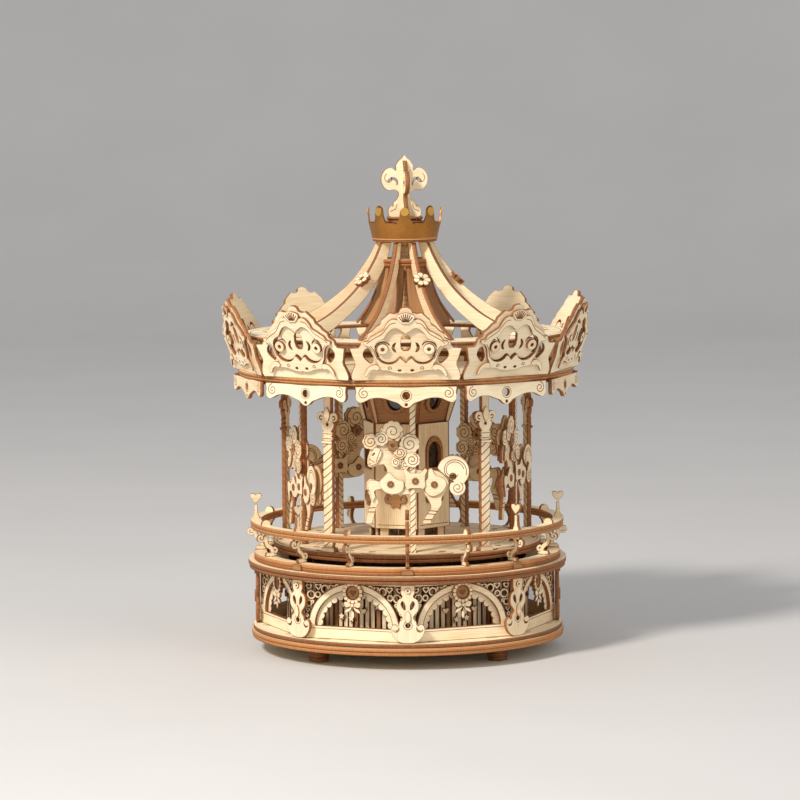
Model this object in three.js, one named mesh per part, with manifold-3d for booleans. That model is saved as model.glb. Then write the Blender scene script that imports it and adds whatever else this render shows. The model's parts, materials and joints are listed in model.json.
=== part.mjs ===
// A laser-cut plywood carousel with a wind-up music box in its drum.
// Millimetres, +Z up, origin on the table under the centre of the drum, -Y is the front.
// Azimuths are measured from the front (-Y) towards +X.
import * as THREE from "three";
import { mergeVertices } from "three/addons/utils/BufferGeometryUtils.js";
import Module from "manifold-3d";

const wasm = await Module();
wasm.setup();

// Driving dimensions ------------------------------------------------------------------------------
const LAYER_GAP = 0.1; // air between two stacked layers
const SIDE_GAP = 0.3; // air between upright plates
const ROUND = 40; // sides of the large round plates
const SMALL_ROUND = 20; // sides of shafts and small wheels

const FOOT = { size: 7.8, height: 8.1, radius: 68 };
const BASE = { radius: 86, bottom: 8.2, middle: 12.3, top: 14.6 };
const DRUM = { sides: 8, bottom: 14.7, top: 46.2, faceApothem: 75.4, thickness: 3, width: 57.6 };
const ARCH = { sill: 21.4, halfWidth: 20, rise: 16.4 };
const PILASTER = { back: 81.2, thickness: 3 };
const CURTAIN = { inner: 65, outer: 67 };
const DECK = { bottom: 46.3, middle: 50.7, top: 54.8 };
const DECK_RADII = { lowerInner: 65, lowerOuter: 87.5, upperInner: 77, upperOuter: 84.4 };
const FENCE = { inner: 80, outer: 86, railBottom: 68, railTop: 72, brackets: 16, thickness: 2.2 };
const MECHANISM_DECK = { radius: 64.5, bottom: 35.6, top: 37.6, postRadius: 58, postSize: 5 };
const CAM = { inner: 56, outer: 64, middle: 43.4, lift: 4, waves: 2 };
const SHAFT = { radius: 3, bottom: 14.8, top: 223.8 };
const GEAR = { teeth: 24, pinionTeeth: 8, pitchRadius: 24, bottom: 30, top: 33, toothHeight: 1.1 };
const TURNTABLE = { radius: 73.5, bottom: 56.2, middle: 58.3, top: 60.5 };
const COLUMN = { count: 5, radius: 70.5, thickness: 4, first: 36 };
const HORSE = { count: 5, radius: 60, thickness: 4.4, poleX: 3.2 };
const POLE = { width: 3.3, depth: 3.8, clearance: 0.5, bottom: 55.8, top: 162 };
const HORSE_OFFSETS = [0, -1, -5, -3, -7]; // each horse's height against the front one, going round
const TOWER = { radius: 24.5, wall: 2, turn: 14, legTop: 68, top: 125.5 };
const FLARE = { lowRadius: 22.5, highRadius: 28.5, bottom: 125.7, top: 150 };
const CANOPY = { sides: 10, rimOuter: 92, rimInner: 86, bottom: 152, top: 155 };
const VALANCE = { apothem: 89.4, bottom: 141, width: 53.4, thickness: 2.2 };
const CREST = { apothem: 92, height: 39.5, thickness: 4, lean: 17, hoopInner: 87, hoopOuter: 91 };
const ROOF = { deckRadius: 88, deckInner: 62, bottom: 172, top: 174.6 };
// The edges of a roof rib, as [radius, z]: down the outside, then back up the inside
const RIB_OUTER = [[15.6, 223.7], [21, 213.6], [31.4, 200.3], [46.7, 188.4], [61.2, 181.2], [78, 175.4]];
const RIB_INNER = [[77.4, 174.9], [57, 174.9], [42.8, 182], [26, 195.4], [14.6, 210.6], [9.9, 223.7]];
const RIB_THICKNESS = 2.6;
const RIB_HOOP = { inner: 11, outer: 15, bottom: 212.6, top: 214.6, sides: 20 };
const RIB_TURN = 18;
const CROWN = { bottom: 224, discTop: 226, bandTop: 234.6, lowRadius: 17.9, highRadius: 19.9, tongues: 8 };
const FINIAL = { plinthBottom: 234, plinthTop: 237.4, plinthRadius: 10, height: 34.1, thickness: 2.4 };

const CREAM = { color: 0xf0dcb4, roughness: 0.72, metalness: 0 };
const EDGE = { color: 0xa8652f, roughness: 0.75, metalness: 0 };
const SHADE = { color: 0x6b4526, roughness: 0.8, metalness: 0 };
const BRASS = { color: 0xb07d3c, roughness: 0.4, metalness: 0.9 };
const STEEL = { color: 0xb9bcc0, roughness: 0.35, metalness: 0.95 };

const radians = THREE.MathUtils.degToRad;
const carousel = new THREE.Group();

// Solids ------------------------------------------------------------------------------------------
function solid(geometry) {
  const bare = geometry.clone();
  bare.deleteAttribute("normal");
  bare.deleteAttribute("uv");
  const merged = mergeVertices(bare, 1e-4);
  return new wasm.Manifold(
    new wasm.Mesh({
      numProp: 3,
      vertProperties: merged.attributes.position.array,
      triVerts: new Uint32Array(merged.index.array),
    }),
  );
}

function geometryOf(made) {
  const mesh = made.getMesh();
  const geometry = new THREE.BufferGeometry();
  geometry.setAttribute("position", new THREE.BufferAttribute(mesh.vertProperties, 3));
  geometry.setIndex(new THREE.BufferAttribute(mesh.triVerts, 1));
  geometry.computeVertexNormals();
  return geometry;
}

function join(geometries) {
  return geometryOf(geometries.map(solid).reduce((all, next) => all.add(next)));
}

function cut(geometry, tools) {
  return geometryOf(tools.map(solid).reduce((rest, tool) => rest.subtract(tool), solid(geometry)));
}

// A flat plate of an outline, lying at height z.
function slab(shape, z, height, curveSegments = 6) {
  const options = { depth: height, bevelEnabled: false, curveSegments };
  return new THREE.ExtrudeGeometry(shape, options).translate(0, 0, z);
}

// A plate standing up: the outline's x goes right and its y goes up, and its front is at y = front.
function upright(shape, front, thickness, curveSegments = 6) {
  return slab(shape, -thickness, thickness, curveSegments).rotateX(Math.PI / 2).translate(0, front, 0);
}

// A radial plate: the outline's x goes outward from the axis at the front.
function radial(shape, thickness, curveSegments = 6) {
  return upright(shape, -thickness / 2, thickness, curveSegments).rotateZ(-Math.PI / 2);
}

function polygon(points) {
  return new THREE.Shape(points.map(([x, y]) => new THREE.Vector2(x, y)));
}

// The outline of half a plate, mirrored about its middle.
function mirrored(half) {
  return polygon([...half, ...half.map(([x, y]) => [-x, y]).reverse()]);
}

function rectangle(x0, y0, x1, y1) {
  return polygon([[x0, y0], [x1, y0], [x1, y1], [x0, y1]]);
}

function circle(radius, sides) {
  return polygon(
    Array.from({ length: sides }, (_, i) => {
      const angle = (2 * Math.PI * i) / sides;
      return [radius * Math.cos(angle), radius * Math.sin(angle)];
    }),
  );
}

function disc(radius, bottom, top, sides = ROUND) {
  return slab(circle(radius, sides), bottom, top - bottom);
}

function ring(inner, outer, bottom, top, sides = ROUND) {
  const shape = circle(outer, sides);
  shape.holes.push(circle(inner, sides));
  return slab(shape, bottom, top - bottom);
}

function block(width, depth, bottom, top, x = 0, y = 0) {
  return new THREE.BoxGeometry(width, depth, top - bottom).translate(x, y, (bottom + top) / 2);
}

// A closed band round the axis whose corners, as [radius, z], may change with the angle.
function wall(corners, sides) {
  const section = (i) => corners((2 * Math.PI * i) / sides);
  const count = section(0).length;
  const positions = [];
  const index = [];
  for (let i = 0; i < sides; i++) {
    const angle = (2 * Math.PI * i) / sides;
    section(i).forEach(([r, z]) => positions.push(r * Math.sin(angle), -r * Math.cos(angle), z));
    for (let k = 0; k < count; k++) {
      const a = i * count + k;
      const b = i * count + ((k + 1) % count);
      const c = ((i + 1) % sides) * count + k;
      const d = ((i + 1) % sides) * count + ((k + 1) % count);
      index.push(a, c, b, b, c, d);
    }
  }
  const geometry = new THREE.BufferGeometry();
  geometry.setAttribute("position", new THREE.Float32BufferAttribute(positions, 3));
  geometry.setIndex(index);
  return geometry;
}

function turned(geometry, degrees) {
  return geometry.clone().rotateZ(radians(degrees));
}

function around(geometry, count, first = 0) {
  return Array.from({ length: count }, (_, i) => turned(geometry, first + (360 * i) / count));
}

function add(name, geometry, finish, azimuth = 0) {
  const mesh = new THREE.Mesh(geometry, new THREE.MeshStandardMaterial(finish));
  mesh.name = name;
  const place = new THREE.Group();
  place.rotation.z = radians(azimuth);
  place.add(mesh);
  carousel.add(place);
}

// Base: feet, round plates, arcaded drum ----------------------------------------------------------
const KEY = { x: 26, y: -14, arbor: 2, hole: 2.6 };
const keyHole = (bottom, top) => disc(KEY.hole, bottom, top, SMALL_ROUND).translate(KEY.x, KEY.y, 0);

for (let i = 0; i < 4; i++) {
  const foot = block(FOOT.size, FOOT.size, 0, FOOT.height, 0, -FOOT.radius);
  add(`foot_${i + 1}`, foot, EDGE, 45 + 90 * i);
}
const lowerPlate = disc(BASE.radius, BASE.bottom, BASE.middle);
const upperPlate = disc(BASE.radius - 1, BASE.middle + LAYER_GAP, BASE.top);
add("base_plate_lower", cut(lowerPlate, [keyHole(0, 20)]), EDGE);
add("base_plate_top", cut(upperPlate, [keyHole(0, 20)]), CREAM);

function drumPanel() {
  const half = DRUM.width / 2;
  const shape = rectangle(-half, DRUM.bottom, half, DRUM.top);
  const arch = new THREE.Path();
  arch.moveTo(-ARCH.halfWidth, ARCH.sill);
  arch.lineTo(ARCH.halfWidth, ARCH.sill);
  arch.absellipse(0, ARCH.sill, ARCH.halfWidth, ARCH.rise, 0, Math.PI, false);
  shape.holes.push(arch);
  return upright(shape, -DRUM.faceApothem, DRUM.thickness, 10);
}

function pilaster() {
  const foot = DRUM.bottom + 0.2;
  const half = [
    [3.5, DRUM.top], [3.5, 40], [2.9, 38.6], [5.8, 35.6], [5.2, 31.5], [3, 28.2], [3.8, 25.2],
    [4.2, 21.8], [9.2, 20.8], [8.9, 18], [5.6, 15.6], [1.6, foot],
  ];
  return upright(mirrored(half), -(PILASTER.back + PILASTER.thickness), PILASTER.thickness);
}

for (let i = 0; i < DRUM.sides; i++) {
  const step = 360 / DRUM.sides;
  add(`drum_panel_${i + 1}`, drumPanel(), CREAM, step * (i + 0.5));
  add(`pilaster_${i + 1}`, pilaster(), CREAM, step * i);
}
add("curtain_screen", ring(CURTAIN.inner, CURTAIN.outer, DRUM.bottom, DRUM.top), SHADE);
add("deck_ring_lower", ring(DECK_RADII.lowerInner, DECK_RADII.lowerOuter, DECK.bottom, DECK.middle), EDGE);
add(
  "deck_ring_upper",
  ring(DECK_RADII.upperInner, DECK_RADII.upperOuter, DECK.middle + LAYER_GAP, DECK.top),
  EDGE,
);

// Fence: a rail carried by S-shaped brackets
function fence() {
  const low = DECK.top + LAYER_GAP;
  const bracket = polygon([
    [76.4, low], [83.4, low], [82.6, 61], [87.4, 64.6], [87, 68.8], [81.6, 69.4], [80.4, 62], [76.6, 58.8],
  ]);
  const plate = radial(bracket, FENCE.thickness);
  const rail = ring(FENCE.inner, FENCE.outer, FENCE.railBottom, FENCE.railTop);
  return join([rail, ...around(plate, FENCE.brackets)]);
}
add("fence", fence(), EDGE);

// Mechanism in the drum ---------------------------------------------------------------------------
function mechanismDeck() {
  const { radius, bottom, top, postRadius, postSize } = MECHANISM_DECK;
  const plate = ring(SHAFT.radius + 0.4, radius, bottom, top);
  const post = block(postSize, postSize, DRUM.bottom, bottom + 1, 0, -postRadius);
  return join([plate, ...around(post, 4, 45)]);
}
add("mechanism_deck", mechanismDeck(), SHADE);

const camTop = (angle) => CAM.middle + CAM.lift * Math.cos(CAM.waves * angle);
const camSection = (angle) => [
  [CAM.inner, MECHANISM_DECK.top + LAYER_GAP],
  [CAM.outer, MECHANISM_DECK.top + LAYER_GAP],
  [CAM.outer, camTop(angle)],
  [CAM.inner, camTop(angle)],
];
add("cam_ring", wall(camSection, ROUND), SHADE);

const BED = { left: 12, right: 58, half: 24, bottom: 14.7, top: 16.7 };
const CYLINDER = { x: 44, z: 23, radius: 5, half: 13 };
function movementPlate() {
  const plate = slab(rectangle(BED.left, -BED.half, BED.right, BED.half), BED.bottom, BED.top - BED.bottom);
  const ear = block(5, 2, BED.top - 0.5, CYLINDER.z + 2, CYLINDER.x, 0);
  const ears = [-1, 1].map((side) => ear.clone().translate(0, side * (CYLINDER.half + 3), 0));
  const holes = [
    keyHole(0, 20),
    disc(1.9, 0, 20, SMALL_ROUND).translate(GEAR.pitchRadius + 8, 0, 0),
    disc(1.4, 0, 20, SMALL_ROUND).translate(24, 14, 0),
    ...[-1, 1].map((side) =>
      disc(1.9, -3, 3, SMALL_ROUND)
        .rotateX(Math.PI / 2)
        .translate(CYLINDER.x, side * (CYLINDER.half + 3), CYLINDER.z),
    ),
  ];
  return cut(join([plate, ...ears]), holes);
}
add("movement_plate", movementPlate(), BRASS);

const barrel = ring(KEY.hole, 9, BED.top + LAYER_GAP, 27, 24).translate(KEY.x, KEY.y, 0);
add("spring_barrel", barrel, BRASS);

function pinCylinder() {
  const drum = disc(CYLINDER.radius, -CYLINDER.half, CYLINDER.half, 24);
  const axle = disc(1.5, -CYLINDER.half - 3.8, CYLINDER.half + 3.8, SMALL_ROUND);
  const wheel = disc(CYLINDER.radius + 0.8, CYLINDER.half - 2, CYLINDER.half, 24);
  return join([drum, axle, wheel]).rotateX(Math.PI / 2).translate(CYLINDER.x, 0, CYLINDER.z);
}
add("pin_cylinder", pinCylinder(), BRASS);

function toneComb() {
  const tip = CYLINDER.x + CYLINDER.radius + 0.4;
  const heel = 57.6;
  const notches = 8;
  const pitch = 20 / notches;
  const edge = [];
  for (let i = 0; i < notches; i++) {
    const y = -10 + pitch * i;
    edge.push([tip, y], [tip, y + pitch * 0.7], [heel - 4, y + pitch * 0.7], [heel - 4, y + pitch]);
  }
  edge.push([heel, 10], [heel, -10]);
  const plate = slab(polygon([...edge].reverse()), CYLINDER.z - 0.5, 1);
  const foot = block(3, 20, BED.top + LAYER_GAP, CYLINDER.z, heel - 1.5, 0);
  return join([plate, foot]);
}
add("tone_comb", toneComb(), STEEL);

// A toothed wheel: each tooth has a flat tip and sloping flanks.
function toothed(teeth, pitchRadius, bottom, top) {
  const points = [];
  const step = (2 * Math.PI) / teeth;
  const marks = [[-0.32, -1], [-0.12, 1], [0.12, 1], [0.32, -1]];
  for (let i = 0; i < teeth; i++) {
    marks.forEach(([share, side]) => {
      const angle = step * (i + share);
      const radius = pitchRadius + side * GEAR.toothHeight;
      points.push([radius * Math.cos(angle), radius * Math.sin(angle)]);
    });
  }
  return slab(polygon(points), bottom, top - bottom);
}

const pinionRadius = (GEAR.pitchRadius * GEAR.pinionTeeth) / GEAR.teeth;
const centreDistance = GEAR.pitchRadius + pinionRadius + 0.2;
function drivePinion() {
  const halfTooth = 180 / GEAR.pinionTeeth;
  const wheel = turned(toothed(GEAR.pinionTeeth, pinionRadius, GEAR.bottom, GEAR.top), halfTooth);
  const arbor = disc(1.5, BED.bottom + 0.3, GEAR.bottom + 0.5, SMALL_ROUND);
  return join([wheel, arbor]).translate(centreDistance, 0, 0);
}
add("drive_pinion", drivePinion(), BRASS);

function governor() {
  const spindle = disc(1, BED.bottom + 0.3, 27, 12);
  const blade = block(11, 1, 19.5, 26);
  return join([spindle, blade]).translate(24, 14, 0);
}
add("governor", governor(), STEEL);

function windingKey() {
  const wing = mirrored([[1.4, 7.2], [11, 7.4], [13, 5.6], [13, 3.4], [11, 1.6], [3, 3.2]]);
  const plate = upright(wing, -1.2, 2.4);
  const arbor = disc(KEY.arbor, 5, 26, SMALL_ROUND);
  return join([plate, arbor]).translate(KEY.x, KEY.y, 0);
}
add("winding_key", windingKey(), STEEL);

// Turning part: shaft, gear, turntable ------------------------------------------------------------
add("main_shaft", disc(SHAFT.radius, SHAFT.bottom, SHAFT.top, SMALL_ROUND), EDGE);
const shaftHole = disc(SHAFT.radius + 0.15, 0, 300, SMALL_ROUND);
const wheel = toothed(GEAR.teeth, GEAR.pitchRadius, GEAR.bottom, GEAR.top);
add("drive_gear", cut(wheel, [shaftHole]), EDGE);

const poleHole = block(
  POLE.width + 2 * POLE.clearance,
  POLE.depth + 2 * POLE.clearance,
  0,
  300,
  HORSE.poleX,
  -HORSE.radius,
);
const poleHoles = around(poleHole, HORSE.count);
const tableLower = disc(TURNTABLE.radius, TURNTABLE.bottom, TURNTABLE.middle - LAYER_GAP);
const tableUpper = disc(TURNTABLE.radius, TURNTABLE.middle, TURNTABLE.top);
add("turntable_lower", cut(tableLower, [shaftHole, ...poleHoles]), EDGE);
add("turntable_upper", cut(tableUpper, [shaftHole, ...poleHoles]), CREAM);

// Columns with a rope shaft, a neck ring and a fleur capital
function column() {
  const foot = TURNTABLE.top + LAYER_GAP;
  const head = CANOPY.bottom - LAYER_GAP;
  const half = [
    [2.3, head], [2.3, 138], [3.4, 136.4], [6.1, 134], [5.6, 130.6], [3.4, 129], [3.4, 119],
    [2.85, 118.4], [2.85, 63.4], [4.2, 62.6], [4.2, foot],
  ];
  return upright(mirrored(half), -(COLUMN.radius + COLUMN.thickness / 2), COLUMN.thickness);
}
for (let i = 0; i < COLUMN.count; i++) {
  add(`column_${i + 1}`, column(), CREAM, COLUMN.first + (360 / COLUMN.count) * i);
}

// Centre tower: six walls on short legs, and a flared collar above
function tower() {
  const { radius, wall: thickness, legTop, top } = TOWER;
  const legs = TURNTABLE.top + LAYER_GAP;
  const section = [[radius - thickness, legTop], [radius, legTop], [radius, top], [radius - thickness, top]];
  const body = wall(() => section, 6);
  const leg = block(5, 3, legs, legTop + 2, 0, -(radius - thickness - 1));
  return join([body, ...around(leg, 6)]);
}
add("tower_body", tower(), CREAM, TOWER.turn);

const flareSection = () => [
  [FLARE.lowRadius - TOWER.wall, FLARE.bottom],
  [FLARE.lowRadius, FLARE.bottom],
  [FLARE.highRadius, FLARE.top],
  [FLARE.highRadius - TOWER.wall, FLARE.top],
];
add("tower_flare", wall(flareSection, 6), EDGE, TOWER.turn);

// Horses: each is one plate with its pole, which slides through the turntable and the ceiling ----
function horse(lift) {
  const front = -HORSE.thickness / 2;
  const body = polygon([
    [-19.4, 107], [-21, 111], [-20.6, 116], [-17, 122], [-12, 122.6], [-3, 121], [1.6, 112], [4, 105.4],
    [9.6, 104.4], [14, 104.6], [17.6, 103], [21.8, 97], [20, 92.4], [18, 89.6], [18.4, 85.6], [14.8, 80.6],
    [13, 75.4], [8.2, 75.2], [9.6, 79.6], [12.8, 84.2], [10.6, 90], [8.6, 93.4], [-1, 91.6], [-9, 91.6],
    [-17.2, 94.2], [-17.2, 90.6], [-15.4, 87.2], [-17.4, 81.4], [-18.6, 75.2], [-21.8, 75], [-22, 80],
    [-20.6, 84.2], [-19, 88.4], [-20.8, 93.4], [-21.6, 98.2], [-19, 100.4], [-13.8, 98.8], [-11, 103.4],
    [-11, 108.6], [-15, 107.6],
  ]);
  const round = (x, z, radius, hole = 0) => {
    const shape = circle(radius, 10);
    if (hole) shape.holes.push(circle(hole, 8));
    return upright(shape, front, HORSE.thickness).translate(x, 0, z);
  };
  const curls = [
    round(-7.4, 125.2, 6),
    round(1.6, 118.8, 5.3),
    round(2.8, 110.4, 4.2),
    round(-19, 120, 4.3),
    round(24.8, 103.6, 8.8, 3),
    round(27, 94.8, 4.2),
  ];
  const pole = block(POLE.width, POLE.depth, POLE.bottom, POLE.top, HORSE.poleX, 0);
  return join([upright(body, front, HORSE.thickness), ...curls, pole]).translate(0, -HORSE.radius, lift);
}
for (let i = 0; i < HORSE.count; i++) {
  add(`horse_${i + 1}`, horse(HORSE_OFFSETS[i]), CREAM, (360 / HORSE.count) * i);
}

// Canopy ------------------------------------------------------------------------------------------
const ceiling = disc(CANOPY.rimInner - SIDE_GAP, CANOPY.bottom, CANOPY.top - 1);
add("ceiling_plate", cut(ceiling, [shaftHole, ...poleHoles]), CREAM);
add("rim_ring", ring(CANOPY.rimInner, CANOPY.rimOuter, CANOPY.bottom, CANOPY.top), EDGE);

function valance() {
  const head = CANOPY.bottom - LAYER_GAP;
  const end = VALANCE.width / 2;
  const half = [
    [end, head], [end, 146.2], [end - 3, 144.7], [end - 8, 146.8], [end - 15, 147.6], [6, 145],
    [2.6, 141.6], [0.6, VALANCE.bottom],
  ];
  const plate = upright(mirrored(half), -(VALANCE.apothem + VALANCE.thickness / 2), VALANCE.thickness);
  const hoop = ring(VALANCE.apothem - 3, VALANCE.apothem, head - 2, head, CANOPY.sides * 4);
  return join([hoop, ...around(plate, CANOPY.sides)]);
}
add("valance", valance(), CREAM);

function crest() {
  const foot = CANOPY.top + LAYER_GAP;
  const half = [
    [26.4, 0], [27.4, 4], [24.8, 8.5], [25.2, 12.6], [28, 17.2], [20, 18.6], [18.4, 25], [11.6, 29.8],
    [8.4, 36], [2, CREST.height],
  ];
  const plate = upright(mirrored(half), 0, CREST.thickness)
    .rotateX(radians(CREST.lean))
    .translate(0, -CREST.apothem, foot);
  const hoop = ring(CREST.hoopInner, CREST.hoopOuter, foot, foot + 2, CANOPY.sides * 4);
  return join([hoop, ...around(plate, CANOPY.sides)]);
}
add("crest", crest(), CREAM);
add("roof_deck", ring(ROOF.deckInner, ROOF.deckRadius, ROOF.bottom, ROOF.top), CREAM);

// Roof ribs: curved radial plates, held by a hoop under the crown
function roofRibs() {
  const rib = radial(polygon([...RIB_OUTER, ...RIB_INNER]), RIB_THICKNESS);
  const hoop = ring(RIB_HOOP.inner, RIB_HOOP.outer, RIB_HOOP.bottom, RIB_HOOP.top, RIB_HOOP.sides);
  return join([hoop, ...around(rib, CANOPY.sides, RIB_TURN)]);
}
add("roof_ribs", roofRibs(), CREAM);

// Crown and finial --------------------------------------------------------------------------------
add("crown_disc", disc(CROWN.lowRadius, CROWN.bottom, CROWN.discTop), EDGE);
const tongue = (angle) => Math.max(0, Math.cos(CROWN.tongues * angle) - 0.55) / 0.45;
const bandSection = (angle) => {
  const top = CROWN.bandTop + 9 * Math.sqrt(tongue(angle));
  const flare = (CROWN.highRadius - CROWN.lowRadius) / (CROWN.bandTop - CROWN.discTop);
  const radiusAt = CROWN.lowRadius + flare * (top - CROWN.discTop);
  return [
    [CROWN.lowRadius - 0.9, CROWN.discTop + LAYER_GAP],
    [CROWN.lowRadius, CROWN.discTop + LAYER_GAP],
    [radiusAt, top],
    [radiusAt - 0.9, top],
  ];
};
add("crown_band", wall(bandSection, 64), BRASS);

function finial() {
  const foot = FINIAL.plinthTop - 0.4;
  const half = [
    [7.4, 0], [7.6, 3], [5, 6.4], [3.2, 9.6], [5.6, 13.6], [9.4, 14], [13, 18], [12.4, 23.4],
    [8, 25.6], [4.6, 23.6], [4, 28], [2, 32],
  ];
  const top = [[0, FINIAL.height + 0.4]];
  const left = half.map(([x, y]) => [-x, y]).reverse();
  const outline = polygon([...half, ...top, ...left]);
  const plate = upright(outline, -FINIAL.thickness / 2, FINIAL.thickness).translate(0, 0, foot);
  const plinth = disc(FINIAL.plinthRadius, FINIAL.plinthBottom, FINIAL.plinthTop, 28);
  const stem = disc(6, CROWN.discTop + LAYER_GAP, FINIAL.plinthBottom + 0.5, 28);
  return join([stem, plinth, plate, turned(plate, 90)]);
}
add("finial", finial(), CREAM);

export default carousel;
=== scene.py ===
# %% [markdown]
# # A music box carousel of laser-cut plywood
# The real object is a stack of flat birch plates, two millimetres thick. A laser has cut every outline,
# so each plate has a pale face, a thin scorched rim and a brown edge where its layers show. Almost
# everything in this lesson is therefore a flat outline with holes, given a thickness and put in its
# place. The measured model is loaded first and never moves: it says where each plate goes and what turns
# with what.

import json
import math
import random

import bpy
import numpy as np
from mathutils import Matrix, Vector
from mathutils.geometry import delaunay_2d_cdt

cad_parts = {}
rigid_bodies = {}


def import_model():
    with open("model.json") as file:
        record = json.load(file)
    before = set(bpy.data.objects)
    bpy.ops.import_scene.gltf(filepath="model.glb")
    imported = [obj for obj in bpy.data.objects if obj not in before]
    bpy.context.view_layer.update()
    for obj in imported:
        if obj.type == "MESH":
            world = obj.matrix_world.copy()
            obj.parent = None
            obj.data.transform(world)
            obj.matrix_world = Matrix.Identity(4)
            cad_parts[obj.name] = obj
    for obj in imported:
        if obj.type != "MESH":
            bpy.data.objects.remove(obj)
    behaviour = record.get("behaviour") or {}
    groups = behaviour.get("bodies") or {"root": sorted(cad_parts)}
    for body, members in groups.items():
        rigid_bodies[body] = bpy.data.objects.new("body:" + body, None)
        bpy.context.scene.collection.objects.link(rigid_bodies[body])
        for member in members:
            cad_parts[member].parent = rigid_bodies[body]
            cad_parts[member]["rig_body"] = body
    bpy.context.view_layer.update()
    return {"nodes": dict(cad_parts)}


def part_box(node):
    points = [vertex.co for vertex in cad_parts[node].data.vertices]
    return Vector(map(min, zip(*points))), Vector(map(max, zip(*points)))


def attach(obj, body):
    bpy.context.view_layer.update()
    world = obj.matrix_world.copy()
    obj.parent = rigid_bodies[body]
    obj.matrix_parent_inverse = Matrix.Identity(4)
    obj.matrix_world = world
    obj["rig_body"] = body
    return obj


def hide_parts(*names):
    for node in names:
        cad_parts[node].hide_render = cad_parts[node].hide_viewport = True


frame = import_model()
MM = 0.001
LAYER = 2.0
rng = random.Random(7)

# %% [markdown]
# ## Shader maths as sentences
# A wood finish is a sum of noises, stripes and masks. Wired by hand, that is a web of Math nodes. A small
# class that wraps a socket lets the same web be written as an expression: `1 - mask` or `grain * 0.4` adds
# its own node. Every other node comes from one method, which takes its type, its settings and its inputs.

# %% Sockets that can be added and multiplied


class Wire:
    """A value of a finish: an expression on it adds its Math nodes."""

    def __init__(self, finish, socket):
        self.finish = finish
        self.socket = socket

    def maths(self, operation, first, second=0.0, third=0.0):
        values = {0: first, 1: second, 2: third}
        return self.finish.node("ShaderNodeMath", {"operation": operation}, values)

    def __add__(self, other):
        return self.maths("ADD", self, other)

    def __radd__(self, other):
        return self.maths("ADD", other, self)

    def __sub__(self, other):
        return self.maths("SUBTRACT", self, other)

    def __rsub__(self, other):
        return self.maths("SUBTRACT", other, self)

    def __mul__(self, other):
        return self.maths("MULTIPLY", self, other)

    def __rmul__(self, other):
        return self.maths("MULTIPLY", other, self)

    def __pow__(self, other):
        return self.maths("POWER", self, other)

    def fraction(self):
        return self.maths("FRACT", self)

    def between(self, low, high):
        """0 below low, 1 above high, and a soft step in between."""
        values = {0: self, 1: low, 2: high, 3: 0.0, 4: 1.0}
        settings = {"interpolation_type": "SMOOTHSTEP"}
        return self.finish.node("ShaderNodeMapRange", settings, values)


class Finish:
    """A material that is put together by calls."""

    def __init__(self, name):
        self.material = bpy.data.materials.new(name)
        self.material.use_nodes = True
        self.tree = self.material.node_tree
        self.tree.nodes.clear()

    def node(self, kind, settings=None, inputs=None, output=0):
        made = self.tree.nodes.new(kind)
        for key, value in (settings or {}).items():
            if key == "stops":
                self.fill_ramp(made.color_ramp, value)
            else:
                setattr(made, key, value)
        for key, value in (inputs or {}).items():
            if isinstance(value, Wire):
                self.tree.links.new(value.socket, made.inputs[key])
            else:
                made.inputs[key].default_value = value
        return Wire(self, made.outputs[output]) if output is not None else made

    def fill_ramp(self, ramp, stops):
        while len(ramp.elements) < len(stops):
            ramp.elements.new(1.0)
        for element, (position, colour) in zip(ramp.elements, stops):
            element.position = position
            element.color = colour

    def mix(self, first, second, share, way="MIX"):
        """One colour turning into another."""
        settings = {"data_type": "RGBA", "blend_type": way}
        return self.node("ShaderNodeMix", settings, {0: share, 6: first, 7: second}, 2)

    def stretched(self, vector, factors):
        settings = {"operation": "MULTIPLY"}
        return self.node("ShaderNodeVectorMath", settings, {0: vector, 1: factors})

    def noise(self, vector, scale, detail=2.0):
        return self.node("ShaderNodeTexNoise", {}, {"Vector": vector, "Scale": scale, "Detail": detail})

    def mark(self, name, output="Vector"):
        """What a mesh stores on its points under a name."""
        return self.node("ShaderNodeAttribute", {"attribute_name": name}, {}, output)

    def bump(self, height, strength, distance):
        values = {"Height": height, "Strength": strength, "Distance": distance}
        return self.node("ShaderNodeBump", {}, values)

    def close(self, **sockets):
        """The surface itself: names use _ for a space."""
        values = {key.replace("_", " "): value for key, value in sockets.items()}
        surface = self.node("ShaderNodeBsdfPrincipled", {}, values)
        self.node("ShaderNodeOutputMaterial", {}, {"Surface": surface}, None)
        return self.material


def tint(red, green, blue):
    """A colour as it looks, from 0 to 255, turned into the light it gives back."""
    parts = [part / 255 for part in (red, green, blue)]
    linear = [p / 12.92 if p < 0.04045 else ((p + 0.055) / 1.055) ** 2.4 for p in parts]
    return (*linear, 1.0)


print("shader helpers ready")

# %% [markdown]
# ## The finishes
# Each cut plate stores three things on its points: `sheet`, its own flat coordinates in millimetres with
# the depth under the face, `burn`, which is 1 at the cut and 0 a little way in, and `tone`, one number
# per plate. With them one birch finish serves every plate. The fibres run along the sheet, the rim turns
# brown where the laser passed, and no two plates are quite the same colour.

# %% Birch faces, pale and toasted


def fibres(wood):
    """Fine streaks along the sheet, and slow clouds of darker wood."""
    sheet = wood.mark("sheet")
    streaks = wood.noise(wood.stretched(sheet, (0.07, 1.5, 0.4)), 1.0, 4.0)
    clouds = wood.noise(wood.stretched(sheet, (0.05, 0.16, 0.1)), 1.0, 2.0)
    return streaks, clouds


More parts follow.
